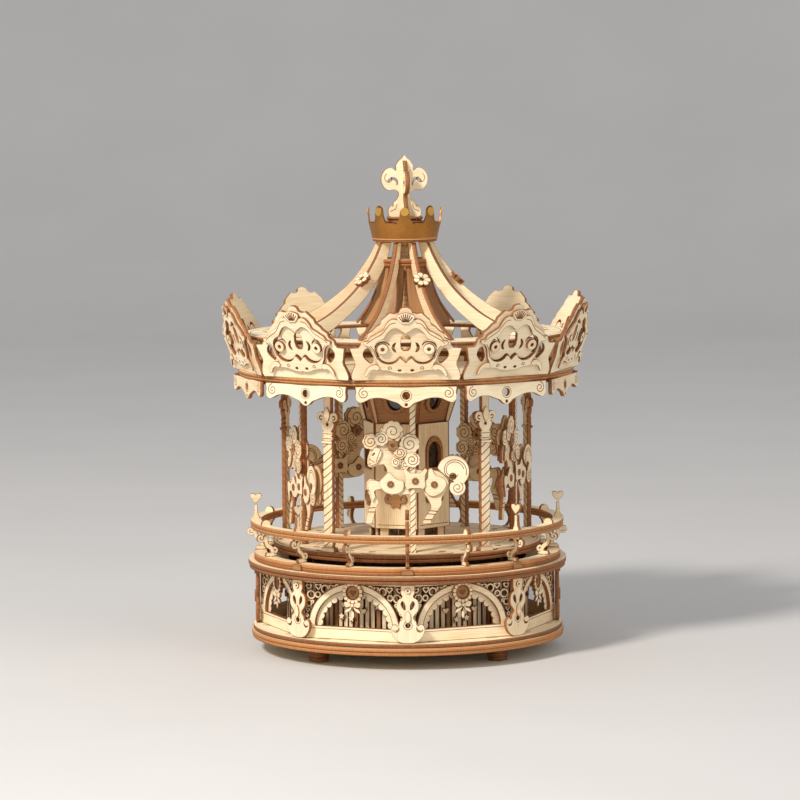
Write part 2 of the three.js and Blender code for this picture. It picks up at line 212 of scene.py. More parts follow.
def face_finish(name, pale, deep, rim, rough=0.62):
    wood = Finish(name)
    streaks, clouds = fibres(wood)
    burn = wood.mark("burn", "Fac")
    tone = wood.mark("tone", "Fac")
    share = (streaks - 0.5) * 1.5 + (clouds - 0.5) * 0.8 + tone * 0.45 + 0.1
    colour = wood.mix(pale, deep, share.between(0.0, 1.0))
    smoky = (burn ** 1.6) * 0.85 + (streaks - 0.5) * burn * 0.3
    colour = wood.mix(colour, rim, smoky)
    relief = streaks * 0.6 - burn * 0.5
    return wood.close(
        Base_Color=colour,
        Roughness=rough - streaks * 0.12,
        Normal=wood.bump(relief, 0.25, 0.0002),
    )


BIRCH_PALE = tint(250, 232, 196)
BIRCH_DEEP = tint(229, 194, 145)
RIM_BROWN = tint(142, 88, 44)
birch = face_finish("birch_face", BIRCH_PALE, BIRCH_DEEP, RIM_BROWN)
# The toasted finish is the darker brown of toasted pieces such as medallions and rosettes; on the curtain's
# stripes and the roof's inner slats the same finish is painted shade.
toasted_and_shade = face_finish("toasted_and_shade_face", tint(176, 126, 76), tint(128, 84, 46), tint(66, 40, 22))
print("faces:", birch.name, toasted_and_shade.name)

# %% [markdown]
# A cut edge shows the layers of the sheet: two pale outer veneers and a core whose grain ends on the
# edge, all browned by the laser. Stripes by depth give the layers, and a noise along the edge breaks them
# up.

# %% The cut edge
LAYER_GREYS = [(0.0, 0.0), (0.16, 0.95), (0.36, 0.75), (0.46, 0.2), (0.58, 0.7), (0.84, 1.0), (1.0, 0.0)]


def edge_finish(name, light, dark):
    wood = Finish(name)
    sheet = wood.mark("sheet")
    depth = wood.node("ShaderNodeSeparateXYZ", {}, {"Vector": sheet}, "Z")
    tone = wood.mark("tone", "Fac")
    scorch = wood.noise(wood.stretched(sheet, (1.4, 1.4, 0.25)), 1.0, 3.0)
    place = (depth * (1.0 / LAYER) + (scorch - 0.5) * 0.06).fraction()
    stops = [(at, (grey, grey, grey, 1.0)) for at, grey in LAYER_GREYS]
    layers = wood.node("ShaderNodeValToRGB", {"stops": stops}, {"Fac": place})
    share = layers * 0.75 + (scorch - 0.5) * 0.8 + tone * 0.25
    colour = wood.mix(dark, light, share.between(0.0, 1.0))
    return wood.close(Base_Color=colour, Roughness=0.7, Normal=wood.bump(layers, 0.3, 0.0002))


burnt_edge = edge_finish("burnt_edge", tint(172, 110, 60), tint(82, 46, 22))
# A second, lighter copy of the cut edge is painted light: it goes on the rims of rings and rails that face
# the lamp.
painted_lit_edge = edge_finish("painted_lit_edge", tint(208, 142, 82), tint(122, 72, 36))
print("edges:", burnt_edge.name, painted_lit_edge.name)

# %% [markdown]
# The other finishes are the thin scorched line of an engraving, the black glossy card of the tower's
# mirrors, the brass-coloured sheet of the crown, a brighter brass on the studs that is a painted
# highlight, and the plain brass, steel and plywood of the works inside. Parts that stay as the measured
# model made them have no `sheet`, so their wood reads its own coordinates.

# %% Lines, mirrors and metals


def line_finish():
    wood = Finish("scorched_line")
    uneven = wood.noise(wood.mark("sheet"), 0.9, 2.0)
    colour = wood.mix(tint(150, 98, 54), tint(98, 58, 28), uneven)
    return wood.close(Base_Color=colour, Roughness=0.8)


def mirror_finish():
    card = Finish("black_mirror")
    dust = card.noise(card.mark("sheet"), 0.35, 3.0)
    colour = card.mix(tint(22, 18, 17), tint(48, 40, 38), dust)
    return card.close(Base_Color=colour, Roughness=dust * 0.2 + 0.02, Coat_Weight=1.0)


def metal_finish(name, light, dark, rough):
    metal = Finish(name)
    place = metal.node("ShaderNodeTexCoord", {}, {}, "Object")
    brushed = metal.noise(metal.stretched(place, (300.0, 300.0, 2600.0)), 1.0, 3.0)
    patches = metal.noise(place, 90.0, 2.0)
    colour = metal.mix(light, dark, (brushed * 0.6 + patches * 0.6 - 0.1).between(0.0, 1.0))
    return metal.close(
        Base_Color=colour,
        Metallic=0.9,
        Roughness=brushed * 0.2 + rough,
        Normal=metal.bump(brushed, 0.12, 0.0001),
    )


def plain_wood_finish():
    wood = Finish("plain_plywood")
    place = wood.node("ShaderNodeTexCoord", {}, {}, "Object")
    streaks = wood.noise(wood.stretched(place, (70.0, 900.0, 900.0)), 1.0, 4.0)
    colour = wood.mix(tint(226, 190, 140), tint(150, 100, 58), streaks.between(0.35, 0.75))
    return wood.close(Base_Color=colour, Roughness=0.7, Normal=wood.bump(streaks, 0.3, 0.0002))


scorched = line_finish()
mirror_card = mirror_finish()
crown_brass = metal_finish("crown_brass", tint(196, 140, 72), tint(146, 96, 46), 0.34)
# The studs' lighter brass is a painted highlight: it stands for the glint a tongue catches where it faces
# the lamp.
painted_glint_brass = metal_finish("painted_glint_brass", tint(250, 206, 116), tint(226, 170, 86), 0.28)
movement_brass = metal_finish("movement_brass", tint(226, 190, 110), tint(178, 138, 70), 0.22)
movement_steel = metal_finish("movement_steel", tint(200, 202, 206), tint(146, 148, 152), 0.25)
plain_wood = plain_wood_finish()
FINISHES = {
    "birch": birch,
    "toasted_and_shade": toasted_and_shade,
    "edge": burnt_edge,
    "painted_lit": painted_lit_edge,
    "line": scorched,
    "mirror": mirror_card,
    "brass": crown_brass,
    "painted_glint": painted_glint_brass,
    "wood": plain_wood,
}
print("finishes:", sorted(FINISHES))

# %% [markdown]
# ## Outlines
# Laser work is drawn flat, so every piece starts as a list of points in millimetres. A few small makers
# cover the whole model: circles and arcs, soft curves through points, halves that are mirrored, strokes
# of changing width for scrolls, and hearts, stars, flowers and spirals for the ornament.

# %% Makers of outlines


def on_circle(x, y, radius, degrees, squash=1.0):
    angle = math.radians(degrees)
    return (x + radius * math.cos(angle), y + squash * radius * math.sin(angle))


def arc(x, y, radius, start, end, steps=12, squash=1.0):
    return [on_circle(x, y, radius, start + (end - start) * i / steps, squash) for i in range(steps + 1)]


def circle(x, y, radius, squash=1.0):
    count = int(min(160, max(12, 8 * radius)))
    return arc(x, y, radius, 0, 360, count, squash)[:-1]


def soft(points, steps=4, closed=True):
    """A soft curve through the points (Catmull-Rom)."""
    count = len(points)
    made = []
    for i in range(count if closed else count - 1):
        if closed:
            a, b, c, d = (np.array(points[(i + k) % count], float) for k in (-1, 0, 1, 2))
        else:
            a, b, c, d = (np.array(points[min(max(i + k, 0), count - 1)], float) for k in (-1, 0, 1, 2))
        for k in range(steps):
            t = k / steps
            p = 2 * b + (c - a) * t + (2 * a - 5 * b + 4 * c - d) * t * t + (3 * b - a - 3 * c + d) * t**3
            made.append(tuple(p / 2))
    return made if closed else made + [tuple(points[-1])]


def oblong(left, low, right, high):
    return [(left, low), (right, low), (right, high), (left, high)]


def tapered(middle, low_half, low, high_half, high):
    """Four corners from the half widths at two heights."""
    lower = [(middle - low_half, low), (middle + low_half, low)]
    return lower + [(middle + high_half, high), (middle - high_half, high)]


def mirrored(half):
    """A closed outline from its right half, which runs from the bottom of the middle line to its top."""
    return list(half) + [(-x, y) for x, y in reversed(half) if abs(x) > 1e-6]


def flipped(points):
    return [(-x, y) for x, y in points]


def moved(points, x, y, turn=0.0, scale=1.0):
    c = math.cos(math.radians(turn)) * scale
    s = math.sin(math.radians(turn)) * scale
    return [(x + px * c - py * s, y + px * s + py * c) for px, py in points]


def heart(x, y, width):
    made = []
    for i in range(24):
        t = 2 * math.pi * i / 24
        made.append((16 * math.sin(t) ** 3, 13 * math.cos(t) - 5 * math.cos(2 * t) - 2 * math.cos(3 * t)))
    return moved(made, x, y, 0, width / 32)


def star(x, y, radius, tips=5, waist=0.48):
    radii = [radius, radius * waist] * tips
    return [on_circle(x, y, r, 90 + 180 * i / tips) for i, r in enumerate(radii)]


def flower(x, y, radius, petals, depth=0.24, turn=0.0):
    made = []
    for i in range(petals * 8):
        lobe = abs(math.sin(math.pi * i / 8)) ** 0.6
        made.append(on_circle(x, y, radius * (1 - depth + depth * lobe), turn + 360 * i / (petals * 8)))
    return made


def spiral(x, y, outer, inner, start, turns, steps=26):
    """An open line that winds inward; negative turns wind clockwise."""
    made = []
    for i in range(steps + 1):
        share = i / steps
        made.append(on_circle(x, y, outer + (inner - outer) * share, start + 360 * turns * share))
    return made


def stroke(points, start, end=None, middle=None):
    """The outline of a line with width, which may swell in the middle; its ends are round."""
    line = np.array(points, float)
    step = np.gradient(line, axis=0)
    step /= np.linalg.norm(step, axis=1)[:, None]
    end = start if end is None else end
    middle = (start + end) / 2 if middle is None else middle
    half = np.interp(np.linspace(0, 1, len(line)), [0, 0.5, 1], [start / 2, middle / 2, end / 2])
    side = np.stack([step[:, 1], -step[:, 0]], axis=1) * half[:, None]
    aim = [math.degrees(math.atan2(step[i, 1], step[i, 0])) for i in (0, -1)]
    tip = arc(*line[-1], half[-1], aim[1] - 60, aim[1] + 60, 3)
    tail = arc(*line[0], half[0], aim[0] + 120, aim[0] + 240, 3)
    return [tuple(p) for p in line + side] + tip + [tuple(p) for p in (line - side)[::-1]] + tail


print("a heart has", len(heart(0, 0, 1)), "points")

# %% [markdown]
# ## From an outline to a plate
# The scorched rim needs points a little inside the cut, so each outline is also drawn again, shrunk by a
# few tenths of a millimetre, less where the wood is narrow. A strip joins the two, and a constrained
# triangulation fills the rest: it copes with holes and with curls that touch, where a simple fan would
# not.

# %% A cut shape
RIM = 0.42


def signed_area(points):
    p = np.array(points)
    q = np.roll(p, -1, axis=0)
    return 0.5 * float(np.sum(p[:, 0] * q[:, 1] - q[:, 0] * p[:, 1]))


def distance_to_cuts(points, starts, ends, near):
    """How far each point is from every cut that is not its own neighbour."""
    span = ends - starts
    length = np.maximum((span**2).sum(1), 1e-12)
    offset = points[:, None, :] - starts[None, :, :]
    along = np.clip((offset * span[None]).sum(2) / length[None], 0, 1)
    gap = np.linalg.norm(offset - along[:, :, None] * span[None], axis=2)
    gap[near] = 1e9
    return gap.min(1)


def inside_share(points, starts, ends):
    """How many times the loops wind round each point."""
    x, y = points[:, 0:1], points[:, 1:2]
    x0, y0, x1, y1 = starts[:, 0], starts[:, 1], ends[:, 0], ends[:, 1]
    side = (x1 - x0) * (y - y0) - (x - x0) * (y1 - y0)
    up = (y0 <= y) & (y1 > y) & (side > 0)
    down = (y0 > y) & (y1 <= y) & (side < 0)
    return up.sum(1) - down.sum(1)


class Shape:
    """A cut outline with holes: points, the rim strip and the inner triangles."""

    def __init__(self, outer, holes=(), rim=RIM):
        loops = []
        for k, points in enumerate([outer, *holes]):
            kept = [p for p, q in zip(points, points[1:] + points[:1]) if math.dist(p, q) > 1e-3]
            wrong = (signed_area(kept) < 0) == (k == 0)
            loops.append(np.array(kept[::-1] if wrong else kept, float))
        self.loops = loops
        starts = np.concatenate(loops)
        ends = np.concatenate([np.roll(p, -1, axis=0) for p in loops])
        inward = []
        near = np.zeros((len(starts), len(starts)), bool)
        first = 0
        for p in loops:
            n = len(p)
            edge = np.roll(p, -1, axis=0) - p
            length = np.linalg.norm(edge, axis=1)
            normal = np.stack([-edge[:, 1], edge[:, 0]], axis=1) / length[:, None]
            both = normal + np.roll(normal, 1, axis=0)
            size = np.maximum(np.linalg.norm(both, axis=1), 0.7)
            inward.append(both / size[:, None] * np.clip(2 / size, 1, 1.5)[:, None])
            place = np.concatenate([[0], np.cumsum(length)])
            apart = np.abs(place[:-1][:, None] - place[:-1][None, :])
            apart = np.minimum(apart, place[-1] - apart)
            near[first : first + n, first : first + n] = apart < 3.2 * rim
            near[first + np.arange(n), first + np.arange(n)] = True
            near[first + np.arange(n), first + (np.arange(n) - 1) % n] = True
            first += n
        room = distance_to_cuts(starts, starts, ends, near)
        inner = starts + np.concatenate(inward) * np.minimum(rim, 0.4 * room)[:, None]
        self.fill(starts, inner)

    def fill(self, cut, inner):
        following = np.concatenate(
            [first + (np.arange(n) + 1) % n for first, n in zip(self.firsts(), map(len, self.loops))]
        )
        lines = [(int(i), int(j)) for i, j in enumerate(following)]
        made = delaunay_2d_cdt([Vector(p) for p in inner], lines, [], 0, 1e-5)
        points = np.array([tuple(v) for v in made[0]])
        faces = np.array(made[2])
        centres = points[faces].mean(1)
        faces = faces[inside_share(centres, inner, inner[following]) > 0]
        where = np.zeros(len(inner), int)
        for i, sources in enumerate(made[3]):
            where[list(sources)] = i
        n = len(cut)
        i = np.arange(n)
        self.cut_points = n
        self.flat = np.concatenate([cut, points])
        self.strips = np.stack([i, following, n + where[following], n + where[i]], axis=1)
        self.inner = faces + n
        self.following = following

    def firsts(self):
        return np.cumsum([0] + [len(p) for p in self.loops[:-1]])


print("rim of", RIM, "mm round every cut")

# %% [markdown]
# ## A cutting: many plates in one piece
# Each named part of the carousel is a few plates glued together, so a `Cutting` gathers plates, engraved
# lines and bent strips into one mesh, and at the end becomes one Blender object that rides on its body
# and stands for the plain measured part. A plate is placed by a matrix, so one outline can serve many
# places.

# %% The cutting


class Cutting:
    def __init__(self):
        self.points = []
        self.sheets = []
        self.burns = []
        self.tones = []
        self.faces = []
        self.kinds = []
        self.count = 0
        self.names = []

    def kind(self, name):
        if name not in self.names:
            self.names.append(name)
        return self.names.index(name)

    def gather(self, points, sheet, burn, faces):
        """Points in mm with their sheet places, and faces as (finish name, corner numbers)."""
        points = np.asarray(points, float)
        start = np.array([rng.uniform(-400, 400), rng.uniform(-400, 400), 0.0])
        self.points.append(points)
        self.sheets.append(np.asarray(sheet, float) + start)
        self.burns.append(np.broadcast_to(np.asarray(burn, float), len(points)))
        self.tones.append(np.full(len(points), rng.random()))
        for name, corners in faces:
            corners = np.asarray(corners, int)
            self.faces.append(corners + self.count)
            self.kinds.append(np.full(len(corners), self.kind(name)))
        self.count += len(points)

    def plate(self, shape, thickness, place, face="birch", edge="edge", grain="along"):
        flat = shape.flat
        n = len(flat)
        front = np.column_stack([flat, np.zeros(n)])
        back = np.column_stack([flat, np.full(n, -thickness)])
        local = np.concatenate([front, back])
        sheet = local if grain == "along" else local[:, [1, 0, 2]]
        burn = np.zeros(n)
        burn[: shape.cut_points] = 1
        i = np.arange(shape.cut_points)
        j = shape.following
        walls = np.stack([i + n, j + n, j, i], axis=1)
        faces = [
            (face, shape.strips),
            (face, shape.inner),
            (face, shape.strips[:, ::-1] + n),
            (face, shape.inner[:, ::-1] + n),
            (edge, walls),
        ]
        self.gather(placed(local, place), sheet, np.concatenate([burn, burn]), faces)

    def line(self, points, width, place, depth=0.0, closed=False, finish="line"):
        """An engraved line: a closed ribbon that stands three hundredths of a millimetre proud."""
        line = np.array(points, float)
        if closed:
            step = np.roll(line, -1, axis=0) - np.roll(line, 1, axis=0)
        else:
            step = np.gradient(line, axis=0)
        step /= np.maximum(np.linalg.norm(step, axis=1), 1e-9)[:, None]
        side = np.stack([step[:, 1], -step[:, 0]], axis=1) * width / 2
        n = len(line)
        rings = []
        for offset, z in ((side, 0.03), (-side, 0.03), (-side, -0.03), (side, -0.03)):
            rings.append(np.column_stack([line + offset, np.full(n, z - depth)]))
        local = np.concatenate(rings)
        i = np.arange(n if closed else n - 1)
        j = (i + 1) % n
        quads = []
        for k in range(4):
            after = (k + 1) % 4
            quads.append(np.stack([i + k * n, j + k * n, j + after * n, i + after * n], axis=1))
        if not closed:
            quads.append(np.array([[0, n, 2 * n, 3 * n], [4 * n - 1, 3 * n - 1, 2 * n - 1, n - 1]]))
        self.gather(placed(local, place), local, 1.0, [(finish, np.concatenate(quads))])

    def strip(self, middle, side, up, widths, thickness, face="birch", edge="edge"):
        """A bent strip: points in space with their sideways and upward directions and the widths there."""
        middle, side, up = (np.asarray(v, float) for v in (middle, side, up))
        n = len(middle)
        half = np.asarray(widths, float)[:, None] / 2
        rims = np.minimum(RIM, 0.35 * half)
        walk = np.concatenate([[0], np.cumsum(np.linalg.norm(np.diff(middle, axis=0), axis=1))])
        rows = [(half, 0, 1), (half - rims, 0, 0), (-half + rims, 0, 0), (-half, 0, 1)]
        rows += [(-half, -thickness, 1), (-half + rims, -thickness, 0), (half - rims, -thickness, 0)]
        rows += [(half, -thickness, 1)]
        points = [middle + side * x + up * z for x, z, _ in rows]
        sheets = [np.column_stack([walk, x, np.full(n, z)]) for x, z, _ in rows]
        burns = [np.full(n, b) for _, _, b in rows]
        i = np.arange(n - 1)
        count = len(rows)
        faces = []
        for k in range(count):
            after = (k + 1) % count
            quad = np.stack([i + k * n, i + 1 + k * n, i + 1 + after * n, i + after * n], axis=1)
            faces.append((edge if k in (3, 7) else face, quad))
        caps = [[k * n for k in reversed(range(count))], [k * n + n - 1 for k in range(count)]]
        faces.append((edge, np.array(caps)))
        self.gather(np.concatenate(points), np.concatenate(sheets), np.concatenate(burns), faces)

    def make(self, name, nodes):
        """The Blender object, in metres, on the body of the measured parts that it stands for."""
        mesh = bpy.data.meshes.new(name)
        points = np.concatenate(self.points) * MM
        corners = np.concatenate([f.ravel() for f in self.faces])
        sizes = np.concatenate([np.full(len(f), f.shape[1]) for f in self.faces])
        mesh.vertices.add(len(points))
        mesh.vertices.foreach_set("co", points.astype(np.float32).ravel())
        mesh.loops.add(len(corners))
        mesh.loops.foreach_set("vertex_index", corners.astype(np.int32))
        mesh.polygons.add(len(sizes))
        mesh.polygons.foreach_set("loop_start", (np.cumsum(sizes) - sizes).astype(np.int32))
        mesh.polygons.foreach_set("material_index", np.concatenate(self.kinds).astype(np.int32))
        mesh.update(calc_edges=True)
        stored = (("burn", self.burns), ("tone", self.tones))
        for key, values in stored:
            mark = mesh.attributes.new(key, "FLOAT", "POINT")
            mark.data.foreach_set("value", np.concatenate(values).astype(np.float32))
        mark = mesh.attributes.new("sheet", "FLOAT_VECTOR", "POINT")
        mark.data.foreach_set("vector", np.concatenate(self.sheets).astype(np.float32).ravel())
        for finish in self.names:
            mesh.materials.append(FINISHES[finish])
        piece = bpy.data.objects.new(name, mesh)
        bpy.context.scene.collection.objects.link(piece)
        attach(piece, frame["nodes"][nodes[0]]["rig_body"])
        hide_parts(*nodes)
        made_pieces.append(piece)
        return piece


made_pieces = []


def placed(local, place):
    matrix = np.array(place)
    return local @ matrix[:3, :3].T + matrix[:3, 3]


def shift(x, y, z):
    return Matrix.Translation((x, y, z))


def turned(degrees, axis="Z"):
    return Matrix.Rotation(math.radians(degrees), 4, axis)


def outward(azimuth, radius=0.0, height=0.0, lean=0.0):
    """The place of a plate that faces out: x runs along it, y up, and its face is at that radius."""
    turn = turned(azimuth)
    stand = turned(90 + lean, "X")
    return turn @ shift(0, -radius, height) @ stand


def spoke(azimuth, thickness, height=0.0):
    """The place of a plate that stands on a radius: x runs outward from the axis, y up."""
    turn = turned(azimuth - 90)
    stand = turned(90, "X")
    return turn @ shift(0, -thickness / 2, height) @ stand


def lying(top, azimuth=0.0):
    """The place of a plate that lies flat with its face at that height."""
    return turned(azimuth) @ shift(0, 0, top)


def ring_shape(outer, inner, extra=()):
    return Shape(circle(0, 0, outer), [circle(0, 0, inner), *extra])


def top_of(node):
    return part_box(node)[1].z / MM


def foot_of(node):
    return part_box(node)[0].z / MM


print("plates can be placed outward, on a spoke or lying")

# %% [markdown]
# ## Feet and base plates
# The carousel stands on four little stacks of square plates under a thick round base. On the real model
# the base is a stack of full round sheets, and its edge shows every one of them, so each sheet is its own
# plate with a slightly different radius. The upper plate is a little smaller and has a slot for each tab
# of the drum.

# %% Feet and base
FOOT_HALF = 7.8 / 2
FOOT_RADIUS = 68.0
FOOT_STEP = 2.03
SLIMMER = 0.94
foot_top = top_of("foot_1")
square = oblong(-FOOT_HALF, -FOOT_HALF, FOOT_HALF, FOOT_HALF)
foot_shapes = [Shape(square), Shape([(x * SLIMMER, y * SLIMMER) for x, y in square])]
for k in range(4):
    stack = Cutting()
    for i in range(4):
        place = lying(foot_top - FOOT_STEP * i, 45 + 90 * k) @ shift(0, -FOOT_RADIUS, 0)
        stack.plate(foot_shapes[i % 2], LAYER - 0.02, place)
    stack.make(f"foot_stack_{k + 1}", [f"foot_{k + 1}"])

key_hole = circle(26, -14, 2.7)
base_top = top_of("base_plate_top")
lower_top = top_of("base_plate_lower")
lower = Cutting()
for radius, thickness, top in ((86, 1.98, lower_top), (85.5, 2.08, lower_top - LAYER)):
    # The lighter edge finish here is painted light on the lit rims of the base sheets.
    lower.plate(Shape(circle(0, 0, radius), [key_hole]), thickness, lying(top), edge="painted_lit")
lower.make("base_sheets_lower", ["base_plate_lower"])
SLOT_APART = 17
slot_outline = oblong(-3.2, -77.4, 3.2, -75.8)
upper = Cutting()
upper.plate(Shape(circle(0, 0, 85), [key_hole]), 2.2, lying(base_top))
for k in range(8):
    for side in (-1, 1):
        tab_slot = moved(moved(slot_outline, SLOT_APART * side, 0), 0, 0, 22.5 + 45 * k)
        upper.line(tab_slot, 0.4, lying(base_top), closed=True)
upper.make("base_sheet_top", ["base_plate_top"])
print("base from", foot_of("base_plate_lower"), "to", base_top)

# %% [markdown]
# ## The arcaded drum
# Eight panels stand round the music movement. Each has a wide arch, a thin scalloped sheet glued behind
# it, and corners filled with rings and hearts. A wreath with a bow hangs in the middle: its medallion is
# a toasted disc with a scorched ring and a plain heart. The panel is cut as a frame with three openings,
# and the filigree is laid into the corner openings as separate rings, each a hair deeper than the last,
# so that no two faces share a plane.

# %% One drum panel
DRUM_FOOT = foot_of("drum_panel_1") + 0.05
DRUM_HEAD = top_of("drum_panel_1") - 0.05
PANEL_RADIUS = 75.4
SILL = 21.4


def half_ellipse(a, b, start, end, steps):
    return [on_circle(0, SILL, a, start + (end - start) * i / steps, b / a) for i in range(steps + 1)]


PANEL_HALF = 29.4
panel_outline = oblong(-PANEL_HALF, DRUM_FOOT, PANEL_HALF, DRUM_HEAD)
arch_opening = half_ellipse(22.6, 20.2, 0, 180, 48)
corner = half_ellipse(25.9, 23.3, 79, 9, 24) + [(28.5, 24.6), (28.5, 44.6), (6.4, 44.6)]
panel_front = Shape(panel_outline, [arch_opening, corner, flipped(corner)])

SCALLOPS = 15
SCALLOP_REACH = 20.6
SCALLOP_RISE = 17.4
scalloped = [(-SCALLOP_REACH, SILL), (SCALLOP_REACH, SILL)]
for k in range(SCALLOPS):
    middle = 180 * (k + 0.5) / SCALLOPS
    centre = half_ellipse(SCALLOP_REACH, SCALLOP_RISE, middle, middle, 1)[0]
    across = SCALLOP_REACH * math.cos(math.radians(middle))
    upward = SCALLOP_RISE * math.sin(math.radians(middle))
    slope = math.degrees(math.atan2(upward, across))
    scalloped += arc(*centre, 1.9, slope + 80, slope + 280, 7)[::-1]
panel_back = Shape(panel_outline, [scalloped, corner, flipped(corner)])

half_filigree = [
    ("ring", 9.6, 42.8, 1.7),
    ("heart", 13.0, 42.6, 3.4),
    ("ring", 16.7, 41.4, 2.4),
    ("heart", 20.6, 42.6, 4.2),
    ("ring", 20.9, 38.2, 1.9),
    ("ring", 24.9, 38.0, 2.5),
    ("heart", 26.2, 42.4, 3.8),
    ("ring", 26.2, 33.4, 2.0),
    ("ring", 24.2, 34.2, 1.1),
    ("heart", 27.0, 29.8, 2.8),
    ("ring", 27.6, 26.8, 1.2),
]
filigree_shapes = {}
for kind, _, _, size in half_filigree:
    if kind == "ring":
        filigree_shapes[kind, size] = Shape(circle(0, 0, size), [circle(0, 0, size - 0.85)], 0.3)
    else:
        filigree_shapes[kind, size] = Shape(heart(0, 0, size), [heart(0, 0.05, size * 0.5)], 0.3)

WREATH_LEAVES = 14
wreath = Shape(flower(0, 0, 6.0, WREATH_LEAVES, 0.16), [circle(0, 0, 3.9)])
medallion = Shape(circle(0, 0, 4.3))
medallion_heart = Shape(heart(0, 0, 3.6), [], 0.2)
bow_loop = soft([(0.4, 0), (2.2, 1.6), (4.4, 1.7), (4.8, 0.2), (3.6, -1.2), (1.6, -0.8)], 4)
bow_tail = soft([(0.3, -0.4), (1.8, -1.6), (3.6, -2.2), (4.6, -4.2), (2.6, -3.6), (1.0, -2.4)], 3)
bow_parts = [Shape(outline) for outline in (bow_loop, flipped(bow_loop), bow_tail, flipped(bow_tail))]
knot = Shape(circle(0, 0, 1.0))
drop = Shape(soft([(0, -7.4), (0.9, -5.4), (0.5, -3.4), (-0.5, -3.4), (-0.9, -5.4)], 3), [], 0.3)


def drum_panel(number, azimuth):
    panel = Cutting()
    front = outward(azimuth, PANEL_RADIUS)
    panel.plate(panel_front, 1.95, front)
    panel.plate(panel_back, 0.95, outward(azimuth, PANEL_RADIUS - 2.0))
    for i, (kind, x, y, size) in enumerate(half_filigree):
        for turn in (-1, 1):
            place = outward(azimuth, PANEL_RADIUS - 0.15 - 0.07 * (i + (turn > 0) * 0.5))
            panel.plate(filigree_shapes[kind, size], 1.5, place @ shift(turn * x, y, 0))
    for a in (26.8, 23.2):
        panel.line(half_ellipse(a - 0.6, a - 3.2, 4, 176, 40), 0.3, front)
    panel.line([(-PANEL_HALF + 1, SILL - 1.2), (PANEL_HALF - 1, SILL - 1.2)], 0.3, front)
    hub = outward(azimuth, PANEL_RADIUS + 1.5) @ shift(0, 40.3, 0)
    panel.plate(wreath, 1.4, hub)
    for i in range(WREATH_LEAVES):
        inner_end = on_circle(0, 0, 4.1, 360 * i / WREATH_LEAVES)
        outer_end = on_circle(0, 0, 5.2, 360 * i / WREATH_LEAVES)
        panel.line([inner_end, outer_end], 0.3, hub)
    panel.plate(medallion, 1.2, hub @ shift(0, 0, -0.8), face="toasted_and_shade")
    panel.line(circle(0, 0, 3.55), 0.8, hub @ shift(0, 0, -0.8), closed=True)
    panel.plate(medallion_heart, 0.8, hub @ shift(0, 0, -0.5), face="line", edge="line")
    bow = outward(azimuth, PANEL_RADIUS + 1.7) @ shift(0, 33.6, 0)
    for i, shape in enumerate(bow_parts):
        panel.plate(shape, 1.2, bow @ shift(0, 0, -0.06 * i))
    panel.plate(drop, 1.1, bow @ shift(0, 0, -0.3))
    panel.plate(knot, 1.4, bow @ shift(0, 0, 0.3))
    return panel.make(f"arcade_panel_{number}", [f"drum_panel_{number}"])


for k in range(8):
    drum_panel(k + 1, 22.5 + 45 * k)
print("arcade panels:", 8, "with", len(half_filigree) * 2, "filigree pieces each")

# %% [markdown]
# ## Pilasters over the joints
# A scrolled board covers each joint between two panels. It bulges at mid height where two teardrops are
# cut through it, and its foot spreads into a round shield with two crescents. One outline, eight places.

# %% Pilasters
half_pilaster = [(0, 14.95), (3.2, 15.1), (6.2, 16.6), (8.2, 19.2), (8.9, 22.0), (8.3, 24.2), (6.8, 25.0)]
half_pilaster += [(5.5, 24.0), (4.7, 24.7), (4.4, 26.4), (3.2, 27.6), (2.9, 28.8)]
half_pilaster += [(3.8, 30.2), (5.4, 32.2), (5.9, 35.2), (5.0, 38.0), (3.1, 39.2), (3.0, 40.4), (3.6, 41.2)]
curve = soft(half_pilaster, 3, closed=False)
pilaster_outline = mirrored(curve + [(3.6, 45.9), (0, 45.9)])
teardrop = soft([(1.3, 32.6), (2.9, 33.8), (3.7, 36.0), (2.7, 37.4), (1.5, 35.6)], 3)
curl = stroke(arc(6.5, 23.0, 1.8, 165, 325, 10), 0.3, 0.3, 1.1)
pilaster_holes = [teardrop, flipped(teardrop), circle(0, 24.4, 1.4), curl, flipped(curl)]
pilaster_shape = Shape(pilaster_outline, pilaster_holes)
leaf = Shape(soft([(0, 25.8), (1.5, 27.6), (1.2, 30.4), (0, 32.4), (-1.2, 30.4), (-1.5, 27.6)], 3))
head_ring = Shape(circle(0, 42.9, 1.5), [circle(0, 42.9, 0.6)], 0.25)
PILASTER_FACE = 83.4
for k in range(8):
    board = Cutting()
    face = outward(45 * k, PILASTER_FACE)
    raised = outward(45 * k, PILASTER_FACE + 0.8)
    board.plate(pilaster_shape, 1.95, face, grain="up")
    board.plate(leaf, 1.0, raised)
    board.plate(head_ring, 0.9, raised)
    board.line(arc(0, 24.4, 2.3, 0, 360, 16), 0.3, face)
    board.make(f"scroll_pilaster_{k + 1}", [f"pilaster_{k + 1}"])
print("pilaster outline has", len(pilaster_outline), "points")

# %% [markdown]
# ## The curtain behind the arches
# Behind the arches a sheet is bent into a cylinder. It can bend because it is slit from top to bottom, so
# what one sees is a row of narrow slats with dark gaps. Every fourth slat is toasted: a darker stripe of
# painted shade. Little stars and hearts are glued on, a different set behind every other arch.

